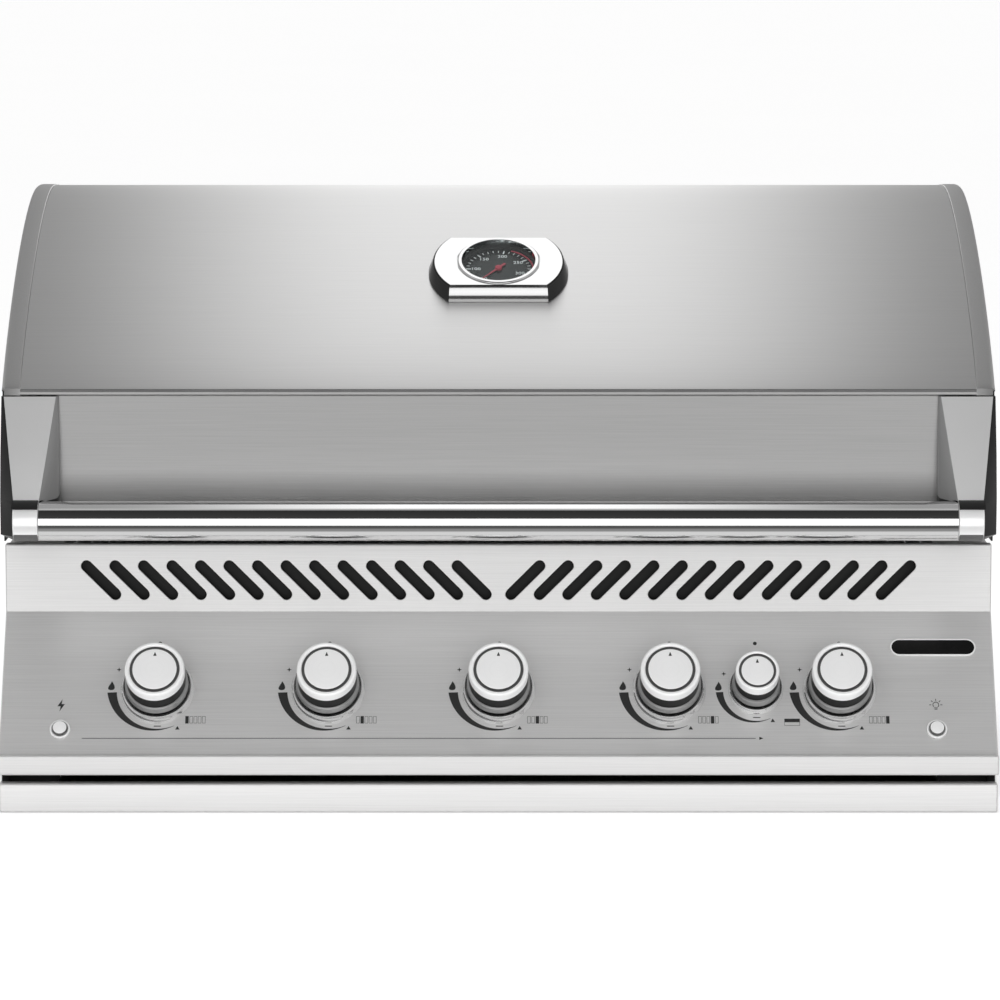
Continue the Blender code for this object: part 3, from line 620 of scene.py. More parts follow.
def lidCurve():
    # front curve, the top that falls gently behind the crest, and the rear round
    frontSteps, topSteps, rearSteps = lid["steps"]
    front = bezierLine(lid["edge"], lid["edgeHandle"], lid["crestHandle"], lid["crest"], frontSteps)
    middle = (lid["rear"] - lid["rearRound"], lid["rearRoundZ"])
    rear = arcLine(middle, lid["rearRound"], lid["rearStart"], 0, rearSteps)
    crest = Vector(lid["crest"])
    onwards = (crest - Vector(lid["crestHandle"])).normalized() * lid["crestReach"]
    turn = math.radians(lid["rearStart"])
    falling = Vector((math.sin(turn), -math.cos(turn))) * lid["crestReach"]
    top = bezierLine(lid["crest"], crest + onwards, Vector(rear[0]) - falling, rear[0], topSteps)
    return front + top[1:-1] + rear


def makeLidSheet():
    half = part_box("lid_shell")[1].x
    bend = lid["bend"]
    start = [
        (lid["recessFront"] + lid["returnDepth"], lid["bottom"]),
        (lid["recessFront"], lid["bottom"], bend),
        (lid["recessFront"], lid["hemBottom"], 0.001),
        (lid["edge"][0], lid["hemBottom"], bend),
        (lid["edge"][0], lid["hemMiddle"]),
    ]
    curve = lidCurve()
    end = [(lid["rear"], lid["rearBottom"], bend), (lid["rear"] - lid["returnDepth"], lid["rearBottom"])]
    line = softLine(start + [(*curve[0], 0.002)] + curve[1:] + end)
    shape = newPrism(line + offsetLine(line, -lid["sheet"])[::-1], -half, half)
    stem = newRod(gaugePlace @ Vector((0, 0, -0.04)), gaugePlace @ Vector((0, 0, 0.01)), lid["stemHole"])

    def zone(middle, normal):  # the recess is painted a darker steel as shade under the overhang, and a dark line is painted as shade where the sheet folds under the front edge
        if middle.y > 0 or middle.z > lid["edge"][1] + 0.0005:
            return 0
        if middle.z < lid["hemMiddle"]:
            return 1
        return 2 if middle.y < lid["edge"][0] + 0.0025 else 0

    shape = painted(carved(shape, stem), zone)
    addPiece("lid_skin", shape, ["lid_steel", "recess_shade_steel", "painted_shade_grey"], "lid", "lid_shell")


makeLidSheet()


# Lid ends: pressed, with a proud rim that wraps over the curve

lidEnd = {
    "rimWidth": 0.018,
    "proud": 0.001,
    "corner": 0.004,
    "cornerSteps": 6,
    "flat": 0.0010,  # a last ring in the same plane keeps the shading of the flat side flat
    "pivotRound": 0.076,
    "pivot": tuple(joints["lid_hinge"]["pos_m"][1:]),
    "hole": 0.0056,
    "shadeFoot": 0.010,
}


def endOutline(inset):
    proud = lidEnd["proud"] - inset
    pivot = lidEnd["pivot"]
    edgeBottom = lid["edge"][1] - lid["sheet"]
    curve = offsetLine(lidCurve() + [(lid["rear"], pivot[1])], proud)[:-1]
    edgeY = max(lid["edge"][0], curve[0][0])
    curve = [(y, max(z, edgeBottom + 0.0003)) for y, z in curve]
    corner = lidEnd["pivotRound"] - max(0, -proud)
    rearAngle = -math.degrees(math.acos((lid["rear"] + proud - pivot[0]) / corner))
    lowerAngle = -math.degrees(math.asin((pivot[1] - lid["bottom"]) / lidEnd["pivotRound"]))
    lower = arcLine(pivot, corner, rearAngle, lowerAngle, 24)
    lower[-1] = (lower[-1][0], lid["bottom"])
    frontY = lid["recessFront"] + 0.001
    front = [(frontY, lid["bottom"]), (frontY, edgeBottom), (edgeY, edgeBottom)]
    return [(edgeY, curve[0][1])] + curve[1:] + lower + front


def makeLidEnd(label, side):
    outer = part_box("lid_end_right")[1].x
    start = outer - lidEnd["rimWidth"]
    corner = lidEnd["corner"]
    stations = [(start, 0.0006), (start + 0.0006, 0)]
    for step in range(lidEnd["cornerSteps"] + 1):
        turn = math.radians(90 * step / lidEnd["cornerSteps"])
        stations.append((outer - corner * (1 - math.sin(turn)), corner * (1 - math.cos(turn))))
    stations.append((outer, corner + lidEnd["flat"]))
    shape = newLoft([[(side * x, y, z) for y, z in endOutline(inset)] for x, inset in stations])
    curve = offsetLine(lidCurve(), -lid["sheet"])
    far = lid["edge"][0] - 0.02
    below = lid["bottom"] - 0.02
    hollow = [(far, curve[0][1] - 0.001)] + curve[1:] + [(curve[-1][0], below), (far, below)]
    shape = carved(shape, newPrism(hollow, side * (start - 0.01), side * (outer - lid["sheet"])))
    ends = [(side * (outer + step), *lidEnd["pivot"]) for step in (-0.015, 0.015)]
    shape = carved(shape, newRod(*ends, lidEnd["hole"]))
    front = lid["edge"][0] + lidEnd["shadeFoot"]
    # the cheek's front below the lid's edge is painted black as the shade of the gap above the bracket
    shape = painted(shape, lambda middle, normal: int(middle.y < front and middle.z < lid["edge"][1] + 0.001))
    addPiece("lid_cheek_" + label, shape, ["end_steel", "black_body_and_shade"], "lid", "lid_end_" + label)


for label, side in bothSides.items():
    makeLidEnd(label, side)


# Hinge pins: shoulder bolts with a hexagon socket

hingePin = {"stem": 0.0050, "collar": 0.0080, "head": 0.0090, "nose": 0.0088, "socket": 0.0029, "gap": 0.0003}


def makeHingePin(label, side):
    low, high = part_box("hinge_pin_right")
    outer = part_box("lid_end_right")[1].x
    stem, collar, head = hingePin["stem"], hingePin["collar"], hingePin["head"]
    shoulder = low.x + hingePin["nose"]
    inside = outer - lid["sheet"] - hingePin["gap"]
    outside = outer + hingePin["gap"]
    shape = newTurned(softLine([
        (0, low.x), (stem, low.x, 0.0006), (stem, shoulder), (collar, shoulder, 0.0005),
        (collar, inside, 0.0005), (stem, inside), (stem, outside), (head, outside, 0.0004),
        (head - 0.0008, outer + 0.0022, 0.0012), (0.0044, high.x), (0, high.x),
    ]), 48)
    socket = newPlate(arcLine((0, 0), hingePin["socket"], 0, 300, 5), outer - 0.001, high.x + 0.001)
    addPiece("hinge_bolt_" + label, carved(shape, socket), ["soft_chrome"], "lid", "hinge_pin_" + label,
             sideways(lidEnd["pivot"], side))


for label, side in bothSides.items():
    makeHingePin(label, side)


# Handle: polished tube between two collars, each in a black cast bracket with a steel face

handle = {
    "axis": (-0.296, 0.285),
    "radius": 0.019,
    "collarRadius": 0.0196,
    "clearance": 0.0009,
    "inner": 0.430,
    "faceFoot": 0.303,
    "hood": (0.4447, 0.4700),
    "hoodFrom": 84,  # degrees over the front horizon, turning back
    "hoodTo": 140,
    # height, side depth, front depth, inner and outer ends of the front face
    "stations": (
        (0.262, -0.262, -0.266, 0.4445, 0.4700),
        (0.268, -0.266, -0.282, 0.4445, 0.4720),
        (0.303, -0.267, -0.301, 0.4445, 0.4688),
        (0.345, -0.260, -0.275, 0.4390, 0.4750),
        (0.4007, -0.243, -0.2440, 0.4317, 0.4825),
    ),
}


def roundBar(node, radius, near, far, sides):
    low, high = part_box(node)
    return newTurned(softLine([(0, low.x), (radius, low.x, near), (radius, high.x, far), (0, high.x)]), sides)


def makeHandleTube():
    bar = roundBar("handle_tube", handle["radius"], 0.0004, 0.0004, 160)
    addPiece("handle_bar", bar, ["chrome_plating"], "lid", "handle_tube", sideways(handle["axis"]))


def makeCollar(label, side):
    shape = roundBar("handle_collar_right", handle["collarRadius"], 0.0012, 0.0014, 120)
    shape = painted(shape, lambda middle, normal: int(normal.x * side > 0.58))  # its underside is painted dark as shade
    addPiece("handle_ferrule_" + label, shape, ["ferrule", "painted_shade_grey"], "lid", "handle_collar_" + label,
             sideways(handle["axis"], side))


def makeBracket(label, side):
    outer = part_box("handle_bracket_right")[1].x
    inner = handle["inner"]
    base = lid["recessFront"] - 0.0003
    rings = []
    for z, sideY, frontY, faceIn, faceOut in handle["stations"]:
        trim = 0.012 if z < 0.265 else 0
        near, far = inner + trim, outer - trim
        outline = [(near, base), (near, min(base - 0.001, sideY + 0.006)), (faceIn, frontY),
                   (faceOut, frontY), (far, sideY), (far, base)]
        rings.append([(side * x, y, z) for x, y in outline])
    axis = handle["axis"]
    clearance = handle["radius"] + handle["clearance"]
    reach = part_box("handle_collar_right")[1].x + 0.0004
    saddle = newRod((side * (inner - 0.005), *axis), (side * reach, *axis), clearance, 64)
    shape = softened(carved(newLoft(rings), saddle), 0.0007, 2, 25)
    foot = handle["faceFoot"] + 0.0003

    def zone(middle, normal):  # the front face is steel, with a painted highlight down its inner edge; the inner flank is a darker steel as painted shade
        if middle.z > foot and normal.x * side < -0.75:
            return 3
        if middle.z < foot or normal.y > -0.5:
            return 0
        if normal.y < -0.8:
            return 1
        return 2 if normal.x * side < -0.2 else 0

    # black hood over the top front of the collar
    fromAngle, toAngle = handle["hoodFrom"], handle["hoodTo"]
    hood = arcLine(axis, clearance + 0.0010, fromAngle, toAngle, 14)
    hood += arcLine(axis, clearance - 0.0001, toAngle, fromAngle, 14)
    ends = sorted(side * end for end in handle["hood"])
    shape = joined([painted(shape, zone), newPrism(hood, *ends)])
    addPiece("handle_arm_" + label, shape, ["black_body_and_shade", "arm_steel", "satin_plate_and_highlight", "flank_shade_steel"], "lid",
             "handle_bracket_" + label)


makeHandleTube()
for label, side in bothSides.items():
    makeCollar(label, side)
    makeBracket(label, side)
print("lid and handle made")


# Thermometer

gauge = {
    "plateRadius": 0.0700,
    "plateHalf": 0.0495,
    "topRadius": 0.0640,
    "topHalf": 0.0424,
    "height": 0.0150,
    "ringOuter": 0.0412,
    "ringInner": 0.0370,
    "ringTop": 0.0168,
    "well": 0.0022,
    "dialFace": 0.0055,
    "scaleFrom": 140,  # degrees from the top, counter-clockwise, of the scale's low end
    "scaleSweep": 260,
    "scaleRadius": 0.0325,
    "ticks": 26,
    "longTick": (0.0050, 0.0014),  # length and width
    "shortTick": (0.0032, 0.0007),
    "numberSize": 0.0066,
    "numberRadius": 0.0227,
    "hotArc": (0.0340, 0.0358),
    "hotFrom": 0.62,
    "pointer": ((-0.0013, -0.010), (0.0013, -0.010), (0.0009, 0), (0.0003, 0.0285), (-0.0003, 0.0285),
                (-0.0009, 0)),
}


def flatRound(radius, half, steps=24):
    lean = math.degrees(math.asin(half / radius))
    right = arcLine((0, 0), radius, -lean, lean, steps)
    return right + arcLine((0, 0), radius, 180 - lean, 180 + lean, steps)


def makeGaugePlate():
    height, inner, outer, top = gauge["height"], gauge["ringInner"], gauge["ringOuter"], gauge["ringTop"]
    stations = [(z, gauge["plateRadius"], gauge["plateHalf"]) for z in (-0.008, 0.0020)]
    for drop, grow in ((0.0012, 0.0017), (0.0003, 0.0005), (0, 0)):
        stations.append((height - drop, gauge["topRadius"] + grow, gauge["topHalf"] + grow))
    shape = newLoft([[(x, y, z) for x, y in flatRound(radius, half)] for z, radius, half in stations])
    lip = softLine([(inner, 0.012), (outer, 0.012), (outer, top - 0.0008, 0.0010),
                    (outer - 0.0012, top, 0.0008), (inner, top)], 5)
    shape = carved(shape, newTurned(lip, 128, True), "UNION")
    near, far = outer + 0.00005, outer + 0.0009
    shape = carved(shape, newTurned([(near, 0.0140), (far, 0.0140), (far, 0.02), (near, 0.02)], 128, True))
    wide, well = inner + 0.0008, gauge["well"]
    shape = carved(shape, newTurned([(0, well), (wide, well), (wide, 0.0115), (inner, 0.0122), (inner, 0.030),
                                     (0, 0.030)], 128))
    shape = carved(shape, newRod((0, 0, -0.02), (0, 0, 0.01), 0.0050, 32))
    curve = offsetLine(lidCurve(), 0.0003)
    seat = newPrism(curve + [(curve[-1][0], 0.300), (curve[0][0], 0.300)], -0.09, 0.09)
    shape = carved(shape, moved(seat, gaugePlace.inverted()))

    def zone(middle, normal):  # black well, bright face and ring, and a painted dark reflection on the rounded ends
        away = math.hypot(middle.x, middle.y)
        if away < inner + 0.0015:
            return 1 if middle.z < 0.0125 else 2
        if away < outer + 0.001:
            return 2
        return 3 if abs(normal.x) > 0.3 and normal.z < 0.9 else 0

    looks = ["gauge_chrome", "black_body_and_shade", "chrome_plating", "dark_reflection_chrome"]
    addPiece("gauge_plate", painted(shape, zone), looks, "lid", "thermometer_bezel", gaugePlace)


def onScale(share, radius):
    angle = math.radians(90 + gauge["scaleFrom"] - gauge["scaleSweep"] * share)
    return Vector((radius * math.cos(angle), radius * math.sin(angle)))


def thinBar(start, end, width, low, high):
    # a narrow strip between two points, drawn up along Z
    along = (end - start).normalized()
    side = Vector((-along.y, along.x)) * width / 2
    return newPlate([start - side, end - side, end + side, start + side], low, high)


def newText(words, size, low, high):
    curve = bpy.data.curves.new("lettering", "FONT")
    curve.body = words
    curve.size = size
    curve.align_x = "CENTER"
    curve.align_y = "CENTER"
    curve.extrude = (high - low) / 2
    curve.resolution_u = 3
    return shifted(evaluated(newObject("lettering", curve), 0.000005), 0, 0, (low + high) / 2)


def makeDial():
    face = gauge["dialFace"]
    profile = softLine([(0, -0.070), (0.0040, -0.070, 0.001), (0.0040, 0.0025), (0.0375, 0.0025),
                        (0.0374, face), (0, face)])
    addPiece("gauge_dial", newTurned(profile), ["black_enamel"], "lid", "thermometer_dial",
             gaugePlace)
    low, high = face + 0.00002, face + 0.00012
    radius, ticks = gauge["scaleRadius"], gauge["ticks"]
    prints = []
    for number in range(ticks + 1):
        length, width = gauge["shortTick" if number % 5 else "longTick"]
        share = number / ticks
        prints.append(thinBar(onScale(share, radius - length), onScale(share, radius), width, low, high))
    for number in range(6):
        spot = onScale(number * 5 / ticks, gauge["numberRadius"])
        prints.append(shifted(newText(str((number + 1) * 50), gauge["numberSize"], low, high), *spot))
    addPiece("gauge_scale", joined(prints), ["pale_ink"], "lid", None, gaugePlace)
    start, steps = gauge["hotFrom"], 16
    span = [start + (1 - start) * step / steps for step in range(steps + 1)]
    inner, outer = gauge["hotArc"]
    outline = [onScale(share, outer) for share in span] + [onScale(share, inner) for share in span[::-1]]
    arc = newPlate(outline, low, high)
    addPiece("gauge_hot_arc", arc, ["red_ink"], "lid", None, gaugePlace)


def makeNeedle():
    hub = newTurned(softLine([(0, 0.0060), (0.0035, 0.0060), (0.0035, 0.0085, 0.0008), (0, 0.0090)]), 48)
    turn = Matrix.Rotation(math.radians(gauge["scaleFrom"]), 4, "Z")
    pointer = moved(newPlate(gauge["pointer"], 0.0066, 0.0074), turn)
    addPiece("gauge_needle", carved(hub, pointer, "UNION"), ["red_ink"], "needle", "thermometer_needle",
             gaugePlace)
    rim = gauge["ringInner"] - 0.0001
    pane = newTurned(softLine([(0, 0.0125), (rim, 0.0125, 0.0003), (rim, 0.0145, 0.0003), (0.030, 0.0148),
                               (0, 0.0150)]))
    addPiece("gauge_pane", pane, ["gauge_glass"], "lid", "thermometer_glass", gaugePlace)


makeGaugePlate()
makeDial()
makeNeedle()
print("thermometer made")


# Control panel: one bent sheet with a row of slanted slots, a sloping face and a bull-nose lip

panel = {
    "sheet": 0.0015,
    "back": -0.2133,
    "top": 0.2530,
    "bandFront": -0.224,
    "bandBottom": 0.186,
    "slopeFoot": (-0.311, 0.059),
    "lipFront": -0.320,
    "lipBottom": 0.0395,
    "lipReturn": -0.300,
    "bend": 0.0025,
    "slotsPerSide": 14,
    "slotPitch": 0.02805,
    "slotHalf": 0.0055,
    "slotReach": 0.0141,
    "slotMiddle": 0.2170,
    "slotEase": 0.00035,
    "firstSlot": 0.0123,
    "stemHole": 0.007,
    "buttonHole": 0.0065,
    "cheekFront": -0.297,  # the sides reach down behind the tray's front
    "cheekFoot": 0.004,
    "flange": 0.0505,  # width of the flange behind each cheek
    "flangeTop": 0.235,
}
button = {"ignition": -0.4265, "light": 0.4265, "down": 0.128}
slopeAxis = Vector(joints["burner_1_turn"]["axis"])
slopeTop = Vector((0, panel["bandFront"], panel["bandBottom"]))
downSlope = (Vector((0, *panel["slopeFoot"])) - slopeTop).normalized()


def onSlope(x, down):
    return facing(slopeTop + downSlope * down + Vector((x, 0, 0)), slopeAxis)


knobPlaces = {}
for name in ("1", "2", "3", "4", "5", "rear"):
    joint = joints["rear_burner_turn" if name == "rear" else "burner_" + name + "_turn"]
    knobPlaces[name] = facing(joint["pos_m"], joint["axis"])
buttonPlaces = {name: onSlope(button[name], button["down"]) for name in ("ignition", "light")}


def slotCutter(side, number):
    footX = side * (panel["firstSlot"] + number * panel["slotPitch"])
    foot = (footX, panel["slotMiddle"] - panel["slotReach"])
    head = (footX + side * 2 * panel["slotReach"], panel["slotMiddle"] + panel["slotReach"])
    lean = 45 if side > 0 else 135
    front, ease = panel["bandFront"], panel["slotEase"]
    rings = []
    for y, grow in ((front - 0.004, ease), (front, ease), (front + 0.0004, 0.0), (front + 0.006, 0.0)):
        half = panel["slotHalf"] + grow
        outline = arcLine(head, half, lean - 90, lean + 90, 10)
        outline += arcLine(foot, half, lean + 90, lean + 270, 10)
        rings.append([(x, y, z) for x, z in outline])
    return newLoft(rings)


def makePanel():
    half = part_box("control_panel")[1].x
    bend, back, foot, lip = panel["bend"], panel["back"], panel["cheekFoot"], panel["lipBottom"]
    line = softLine([
        (back, panel["top"]),
        (panel["bandFront"], panel["top"], bend),
        (panel["bandFront"], panel["bandBottom"], 0.0015),
        (*panel["slopeFoot"], 0.0012),
        (panel["lipFront"], panel["slopeFoot"][1], bend),
        (panel["lipFront"], lip, bend),
        (panel["lipFront"] + 0.004, lip),
    ], 6)
    shape = eased(line, half, 1, [(panel["cheekFront"], lip), (panel["cheekFront"], foot), (back, foot)])
    inside = offsetLine(line, panel["sheet"])
    past, below, floor = back + 0.01, foot - 0.01, lip + panel["sheet"]
    inside[0] = (past, inside[0][1])
    inside[-1] = (inside[-1][0], floor)
    inside += [(panel["lipReturn"], floor), (panel["lipReturn"], below), (past, below)]
    wall = half - panel["sheet"]
    shape = carved(shape, newPrism(inside, -wall, wall))
    flanges = []
    for side in (-1, 1):
        near, far = sorted((side * (half - panel["flange"]), side * (half - panel["sheet"] / 2)))
        flanges.append(newBox((near, back - 0.0016, foot + 0.001), (far, back - 0.0001, panel["flangeTop"])))
    shape = carved(shape, joined(flanges), "UNION")
    slots = [slotCutter(side, number) for side in (-1, 1) for number in range(panel["slotsPerSide"])]
    shape = carved(shape, joined(slots))
    holes = []
    for places, radius in ((knobPlaces, panel["stemHole"]), (buttonPlaces, panel["buttonHole"])):
        for place in places.values():
            holes.append(moved(newRod((0, 0, -0.006), (0, 0, 0.006), radius, 32), place))
    shape = carved(shape, joined(holes))

    def inner(middle, normal):  # the side that faces the burners is painted black as shade, so that the slots look dark
        away = abs(middle.x)
        return int(normal.y > 0.5 or (away < wall and normal.z < -0.5 and middle.z > lip + 0.004)
                   or (wall - 0.0002 < away < half - 0.0007 and abs(normal.x) > 0.9)
                   or abs(middle.y - back) < 0.002)

    addPiece("panel_skin", painted(shape, inner), ["panel_steel", "slot_shade_black"], "base", "control_panel",
             smooth=25)


makePanel()


# Bare plate on the right: black field in a bright rim

plate = {"x": 0.426, "down": 0.0397, "reach": 0.0420, "half": 0.0092, "rim": 0.0013, "thick": 0.0022}


def makeBarePlate():
    half, rim, thick = plate["half"], plate["rim"], plate["thick"]
    end = plate["reach"] - half
    rings = []
    for inset, z in ((0, 0.0003), (0, thick - 0.0006), (0.0003, thick - 0.0001), (0.0006, thick),
                     (rim - 0.0002, thick), (rim, thick - 0.0003), (rim + 0.0002, thick - 0.0006)):
        radius = half - inset
        outline = arcLine((end, 0), radius, -90, 90, 20) + arcLine((-end, 0), radius, 90, 270, 20)
        rings.append([(x, y, z) for x, y in outline])

    def field(middle, normal):
        away = math.hypot(max(0, abs(middle.x) - end), middle.y)
        return int(normal.z > 0.9 and away < half - rim - 0.0002)

    shape = painted(newLoft(rings), field)
    addPiece("bare_plate", shape, ["satin_plate_and_highlight", "black_enamel"], "base", "name_plate",
             onSlope(plate["x"], plate["down"]))


makeBarePlate()
print("control panel made")


# Knobs: satin cap in a bead, black grip band, skirt, and a dished ring on the panel

knob = {
    "large": {"ring": 0.0362, "skirt": 0.0310, "grip": 0.0284, "cap": 0.0289, "bead": 0.0241, "disc": 0.0215,
              "capFoot": 0.0367, "height": 0.0492},
    "small": {"ring": 0.0269, "skirt": 0.0236, "grip": 0.0206, "cap": 0.0211, "bead": 0.0179, "disc": 0.0157,
              "capFoot": 0.0333, "height": 0.0458},
    "bottom": 0.0045,
    "skirtFoot": 0.0123,
    "skirtTop": 0.0205,
    "ringHeight": 0.0092,
    "discDrop": 0.0010,
    "socket": (0.0044, 47),  # radius, and half the angle of the flat
    "stem": (0.0040, 49.5),
    "stemReach": (-0.0255, 0.0285),
}


def knobProfile(size):
    bottom, foot, top, height = knob["bottom"], knob["skirtFoot"], knob["skirtTop"], size["height"]
    skirt, grip, cap, disc = size["skirt"], size["grip"], size["cap"], size["disc"]
    bead = (cap - size["bead"]) / 2
    groove = height - bead - 0.0012
    face = height - knob["discDrop"]
    outside = [(0, bottom), (skirt - 0.002, bottom, 0.0005), (skirt - 0.002, foot - 0.0008),
               (skirt, foot, 0.0005), (skirt - 0.0004, top, 0.0008), (grip + 0.0003, top + 0.0006),
               (grip, size["capFoot"]), (cap, size["capFoot"] + 0.0006)]
    inside = [(size["bead"], groove), (disc, groove), (disc, height - 0.0012, 0.0005), (disc - 0.004, face),
              (0, face)]
    rim = arcLine((size["bead"] + bead, height - bead), bead, 0, 180, 14)
    return softLine(outside) + rim + softLine(inside)


def shaftOutline(radius, flat):
    return arcLine((0, 0), radius, 90 + flat, 450 - flat, 20)


def makeKnob(name, place, size):
    wall = size["skirt"] + 0.0012
    flare = size["ring"] - wall
    rise = knob["ringHeight"]
    ring = newTurned(softLine([
        (0.0120, 0.0003), (size["ring"], 0.0003), (size["ring"], 0.0014, 0.0008),
        (wall + 0.56 * flare, rise - 0.0022, 0.004), (wall + 0.25 * flare, rise, 0.0006),
        (wall, rise - 0.0004, 0.0003), (wall, 0.0014, 0.0004), (0.0120, 0.0012),
    ], 5), 128, True)
    addPiece("ring_" + name, ring, ["ring_chrome"], "base", "knob_bezel_" + name, place)

    height, disc = size["height"], size["disc"]
    shape = carved(newTurned(knobProfile(size), 128), newPlate(shaftOutline(*knob["socket"]), 0.002, 0.0325))

    def zone(middle, normal):
        away = math.hypot(middle.x, middle.y)
        if away < disc - 0.0001 and middle.z > height - 0.003:
            return 2
        # the groove inside the bead is painted dark as shade
        if away < size["bead"] + 0.0001 and middle.z > height - 0.006 and away > disc - 0.0002:
            return 3
        if knob["skirtTop"] + 0.0004 < middle.z < size["capFoot"] and away > size["grip"] - 0.001:
            return 1
        # the foot under the skirt is painted black as the shade of the gap
        if middle.z < knob["skirtFoot"] - 0.0009:
            return 1
        return 4 if middle.z > size["capFoot"] else 0

    top = height - knob["discDrop"]
    tip = disc - 0.0032
    arrow = [(-0.0016, tip - 0.0042), (0.0016, tip - 0.0042), (0, tip)]
    pointer = painted(newPlate(arrow, top + 0.00002, top + 0.0001), lambda middle, normal: 5)
    addPiece("dial_knob_" + name, joined([painted(shape, zone), pointer]),
             ["skirt_steel", "black_band_and_shade", "turned_cap", "painted_shade_grey", "satin_plate_and_highlight", "black_ink"],
             "knob_" + name, "knob_" + name, place)

    shaft = newPlate(shaftOutline(*knob["stem"]), *knob["stemReach"])
    addPiece("stem_" + name, softened(shaft, 0.0003, 1, 40), ["turned_brass"], "valve_" + name,
             "valve_rotor_" + name, place)


for name, place in knobPlaces.items():
    makeKnob(name, place, knob["small" if name == "rear" else "large"])
print("knobs made")


# Push buttons in their rings

def makeButton(name, place):
    label = name + "_button"
    ring = newTurned(softLine([(0.0079, 0.0003), (0.0100, 0.0003), (0.0100, 0.0018, 0.0006),
                               (0.0090, 0.0028, 0.0008), (0.0079, 0.0022)]), 64, True)
    addPiece(label + "_ring", ring, ["satin_plate_and_highlight"], "base", label + "_bezel", place)
    push = newTurned(softLine([(0, -0.0150), (0.0050, -0.0150, 0.0004), (0.0050, 0.0025), (0.0075, 0.0025),
                               (0.0075, 0.0046, 0.0008), (0.0066, 0.0056, 0.0004), (0.0030, 0.0059),
                               (0, 0.0060)]), 64)
    # the cap's rounded edge is painted dark as the shade of the gap round it
    push = painted(push, lambda middle, normal: int(math.hypot(middle.x, middle.y) > 0.0066))
    addPiece(label + "_cap", push, ["turned_cap", "painted_shade_grey"], name + "_push", label, place)


for name, place in buttonPlaces.items():
    makeButton(name, place)


# Printed marks: each is a thin print on the sloping face, drawn about its own knob or button

marks = {
    "thickness": 0.00012,
    "lift": 0.00002,
    "line": 0.00032,
    "large": {"shift": (0.0010, -0.0009), "inner": 0.0406, "wide": 0.0090, "flame": (-0.0465, 0.0055),
              "spark": (-0.0393, 0.0230), "foot": (0.0196, -0.0398), "dash": -0.0378},
    "small": {"shift": (0.0006, -0.0009), "inner": 0.0322, "wide": 0.0070, "flame": (-0.0372, 0.0050),
              "spark": (-0.0312, 0.0185), "foot": (0.0155, -0.0318), "dash": -0.0285},
    "flame": 0.0092,
    "spark": 0.0050,
    "dash": (0.0070, 0.0009),
    "dot": (0.0019, 0.0515),  # radius, and height over the knob's middle
    "sweep": (182, 112),  # degrees of the crescent's start and length
    "cells": (0.0287, -0.0310, 0.0041),  # first cell's middle, and their pitch
    "rearSign": (0.0343, -0.0335, 0.0150, 0.0074),
    "level": (-0.405, 0.250, 0.1373),  # ends of the long line, and how far down the slope it lies
    "buttonDown": 0.1020,
    "bolt": ((0.0012, 0.0065), (-0.0036, -0.0010), (-0.0004, -0.0010), (-0.0014, -0.0065), (0.0036, 0.0014),
             (0.0005, 0.0014)),
    "bulb": (0.0006, 0.0032, 0.0007),  # middle, radius and stroke
}


def printed(outline):
    return newPlate(outline, marks["lift"], marks["lift"] + marks["thickness"])


def corners(x, y, width, height):
    left, right, low, high = x - width / 2, x + width / 2, y - height / 2, y + height / 2
    return [(left, low), (right, low), (right, high), (left, high)]


def filled(*where):
    return printed(corners(*where))


def framed(x, y, width, height):
    # an open rectangle drawn with four strokes
    line = marks["line"]
    outer, inner = corners(x, y, width, height), corners(x, y, width - 2 * line, height - 2 * line)
    return [printed([outer[i - 1], outer[i], inner[i], inner[i - 1]]) for i in (1, 2, 3, 0)]


def crescent(inner, wide):
    # sweeps from the left round the bottom, and thins out towards the lower right
    start, length = marks["sweep"]
    steps = 36
    outerEdge, innerEdge = [], []
    for step in range(steps + 1):
        share = step / steps
        angle = math.radians(start + length * share)
        thick = wide * (1 - share) ** 1.15 + 0.00025
        outerEdge.append(((inner + thick) * math.cos(angle), (inner + thick) * math.sin(angle)))
        innerEdge.append((inner * math.cos(angle), inner * math.sin(angle)))
    return printed(outerEdge + innerEdge[::-1])


def droplet(size):
    # a plain flame: a drop with a leaning tip
    foot, tip = (0, -0.5), (0.06, 0.55)
    line = bezierLine(foot, (0.62, -0.5), (0.40, 0.10), tip, 10)[:-1]
    line += bezierLine(tip, (-0.02, 0.16), (-0.70, -0.45), foot, 10)[:-1]
    return printed([(u * size, v * size) for u, v in line])


def spark(size):
    points = []
    for i in range(8):
        radius = size / 6 if i % 2 else size / 2
        points.append((radius * math.cos(math.pi * i / 4), radius * math.sin(math.pi * i / 4)))
    return printed(points)


def bulbMark():
    # outline of a lamp bulb with rays
    middle, radius, stroke = marks["bulb"]
    shapes = [printed(arcLine((0, middle), radius, -50, 230, 20)
                      + arcLine((0, middle), radius - stroke, 230, -50, 20))]
    shapes += [filled(0, -0.0027, 0.0036, stroke), filled(0, -0.0041, 0.0028, stroke)]
    for angle in range(0, 181, 45):
        turn = Matrix.Rotation(math.radians(angle), 4, "Z")
        shapes.append(shifted(moved(filled(0.0054, 0, 0.0020, stroke), turn), 0, middle))
    return shapes


def burnerSign(number):
    # five cells, with the one of this burner filled
    x, y, pitch = marks["cells"]
    group = []
    for cell in range(5):
        if cell == number - 1:
            group.append(filled(x + cell * pitch, y, 0.0033, 0.0080))
        else:
            group += framed(x + cell * pitch, y, 0.0032, 0.0074)
    return group


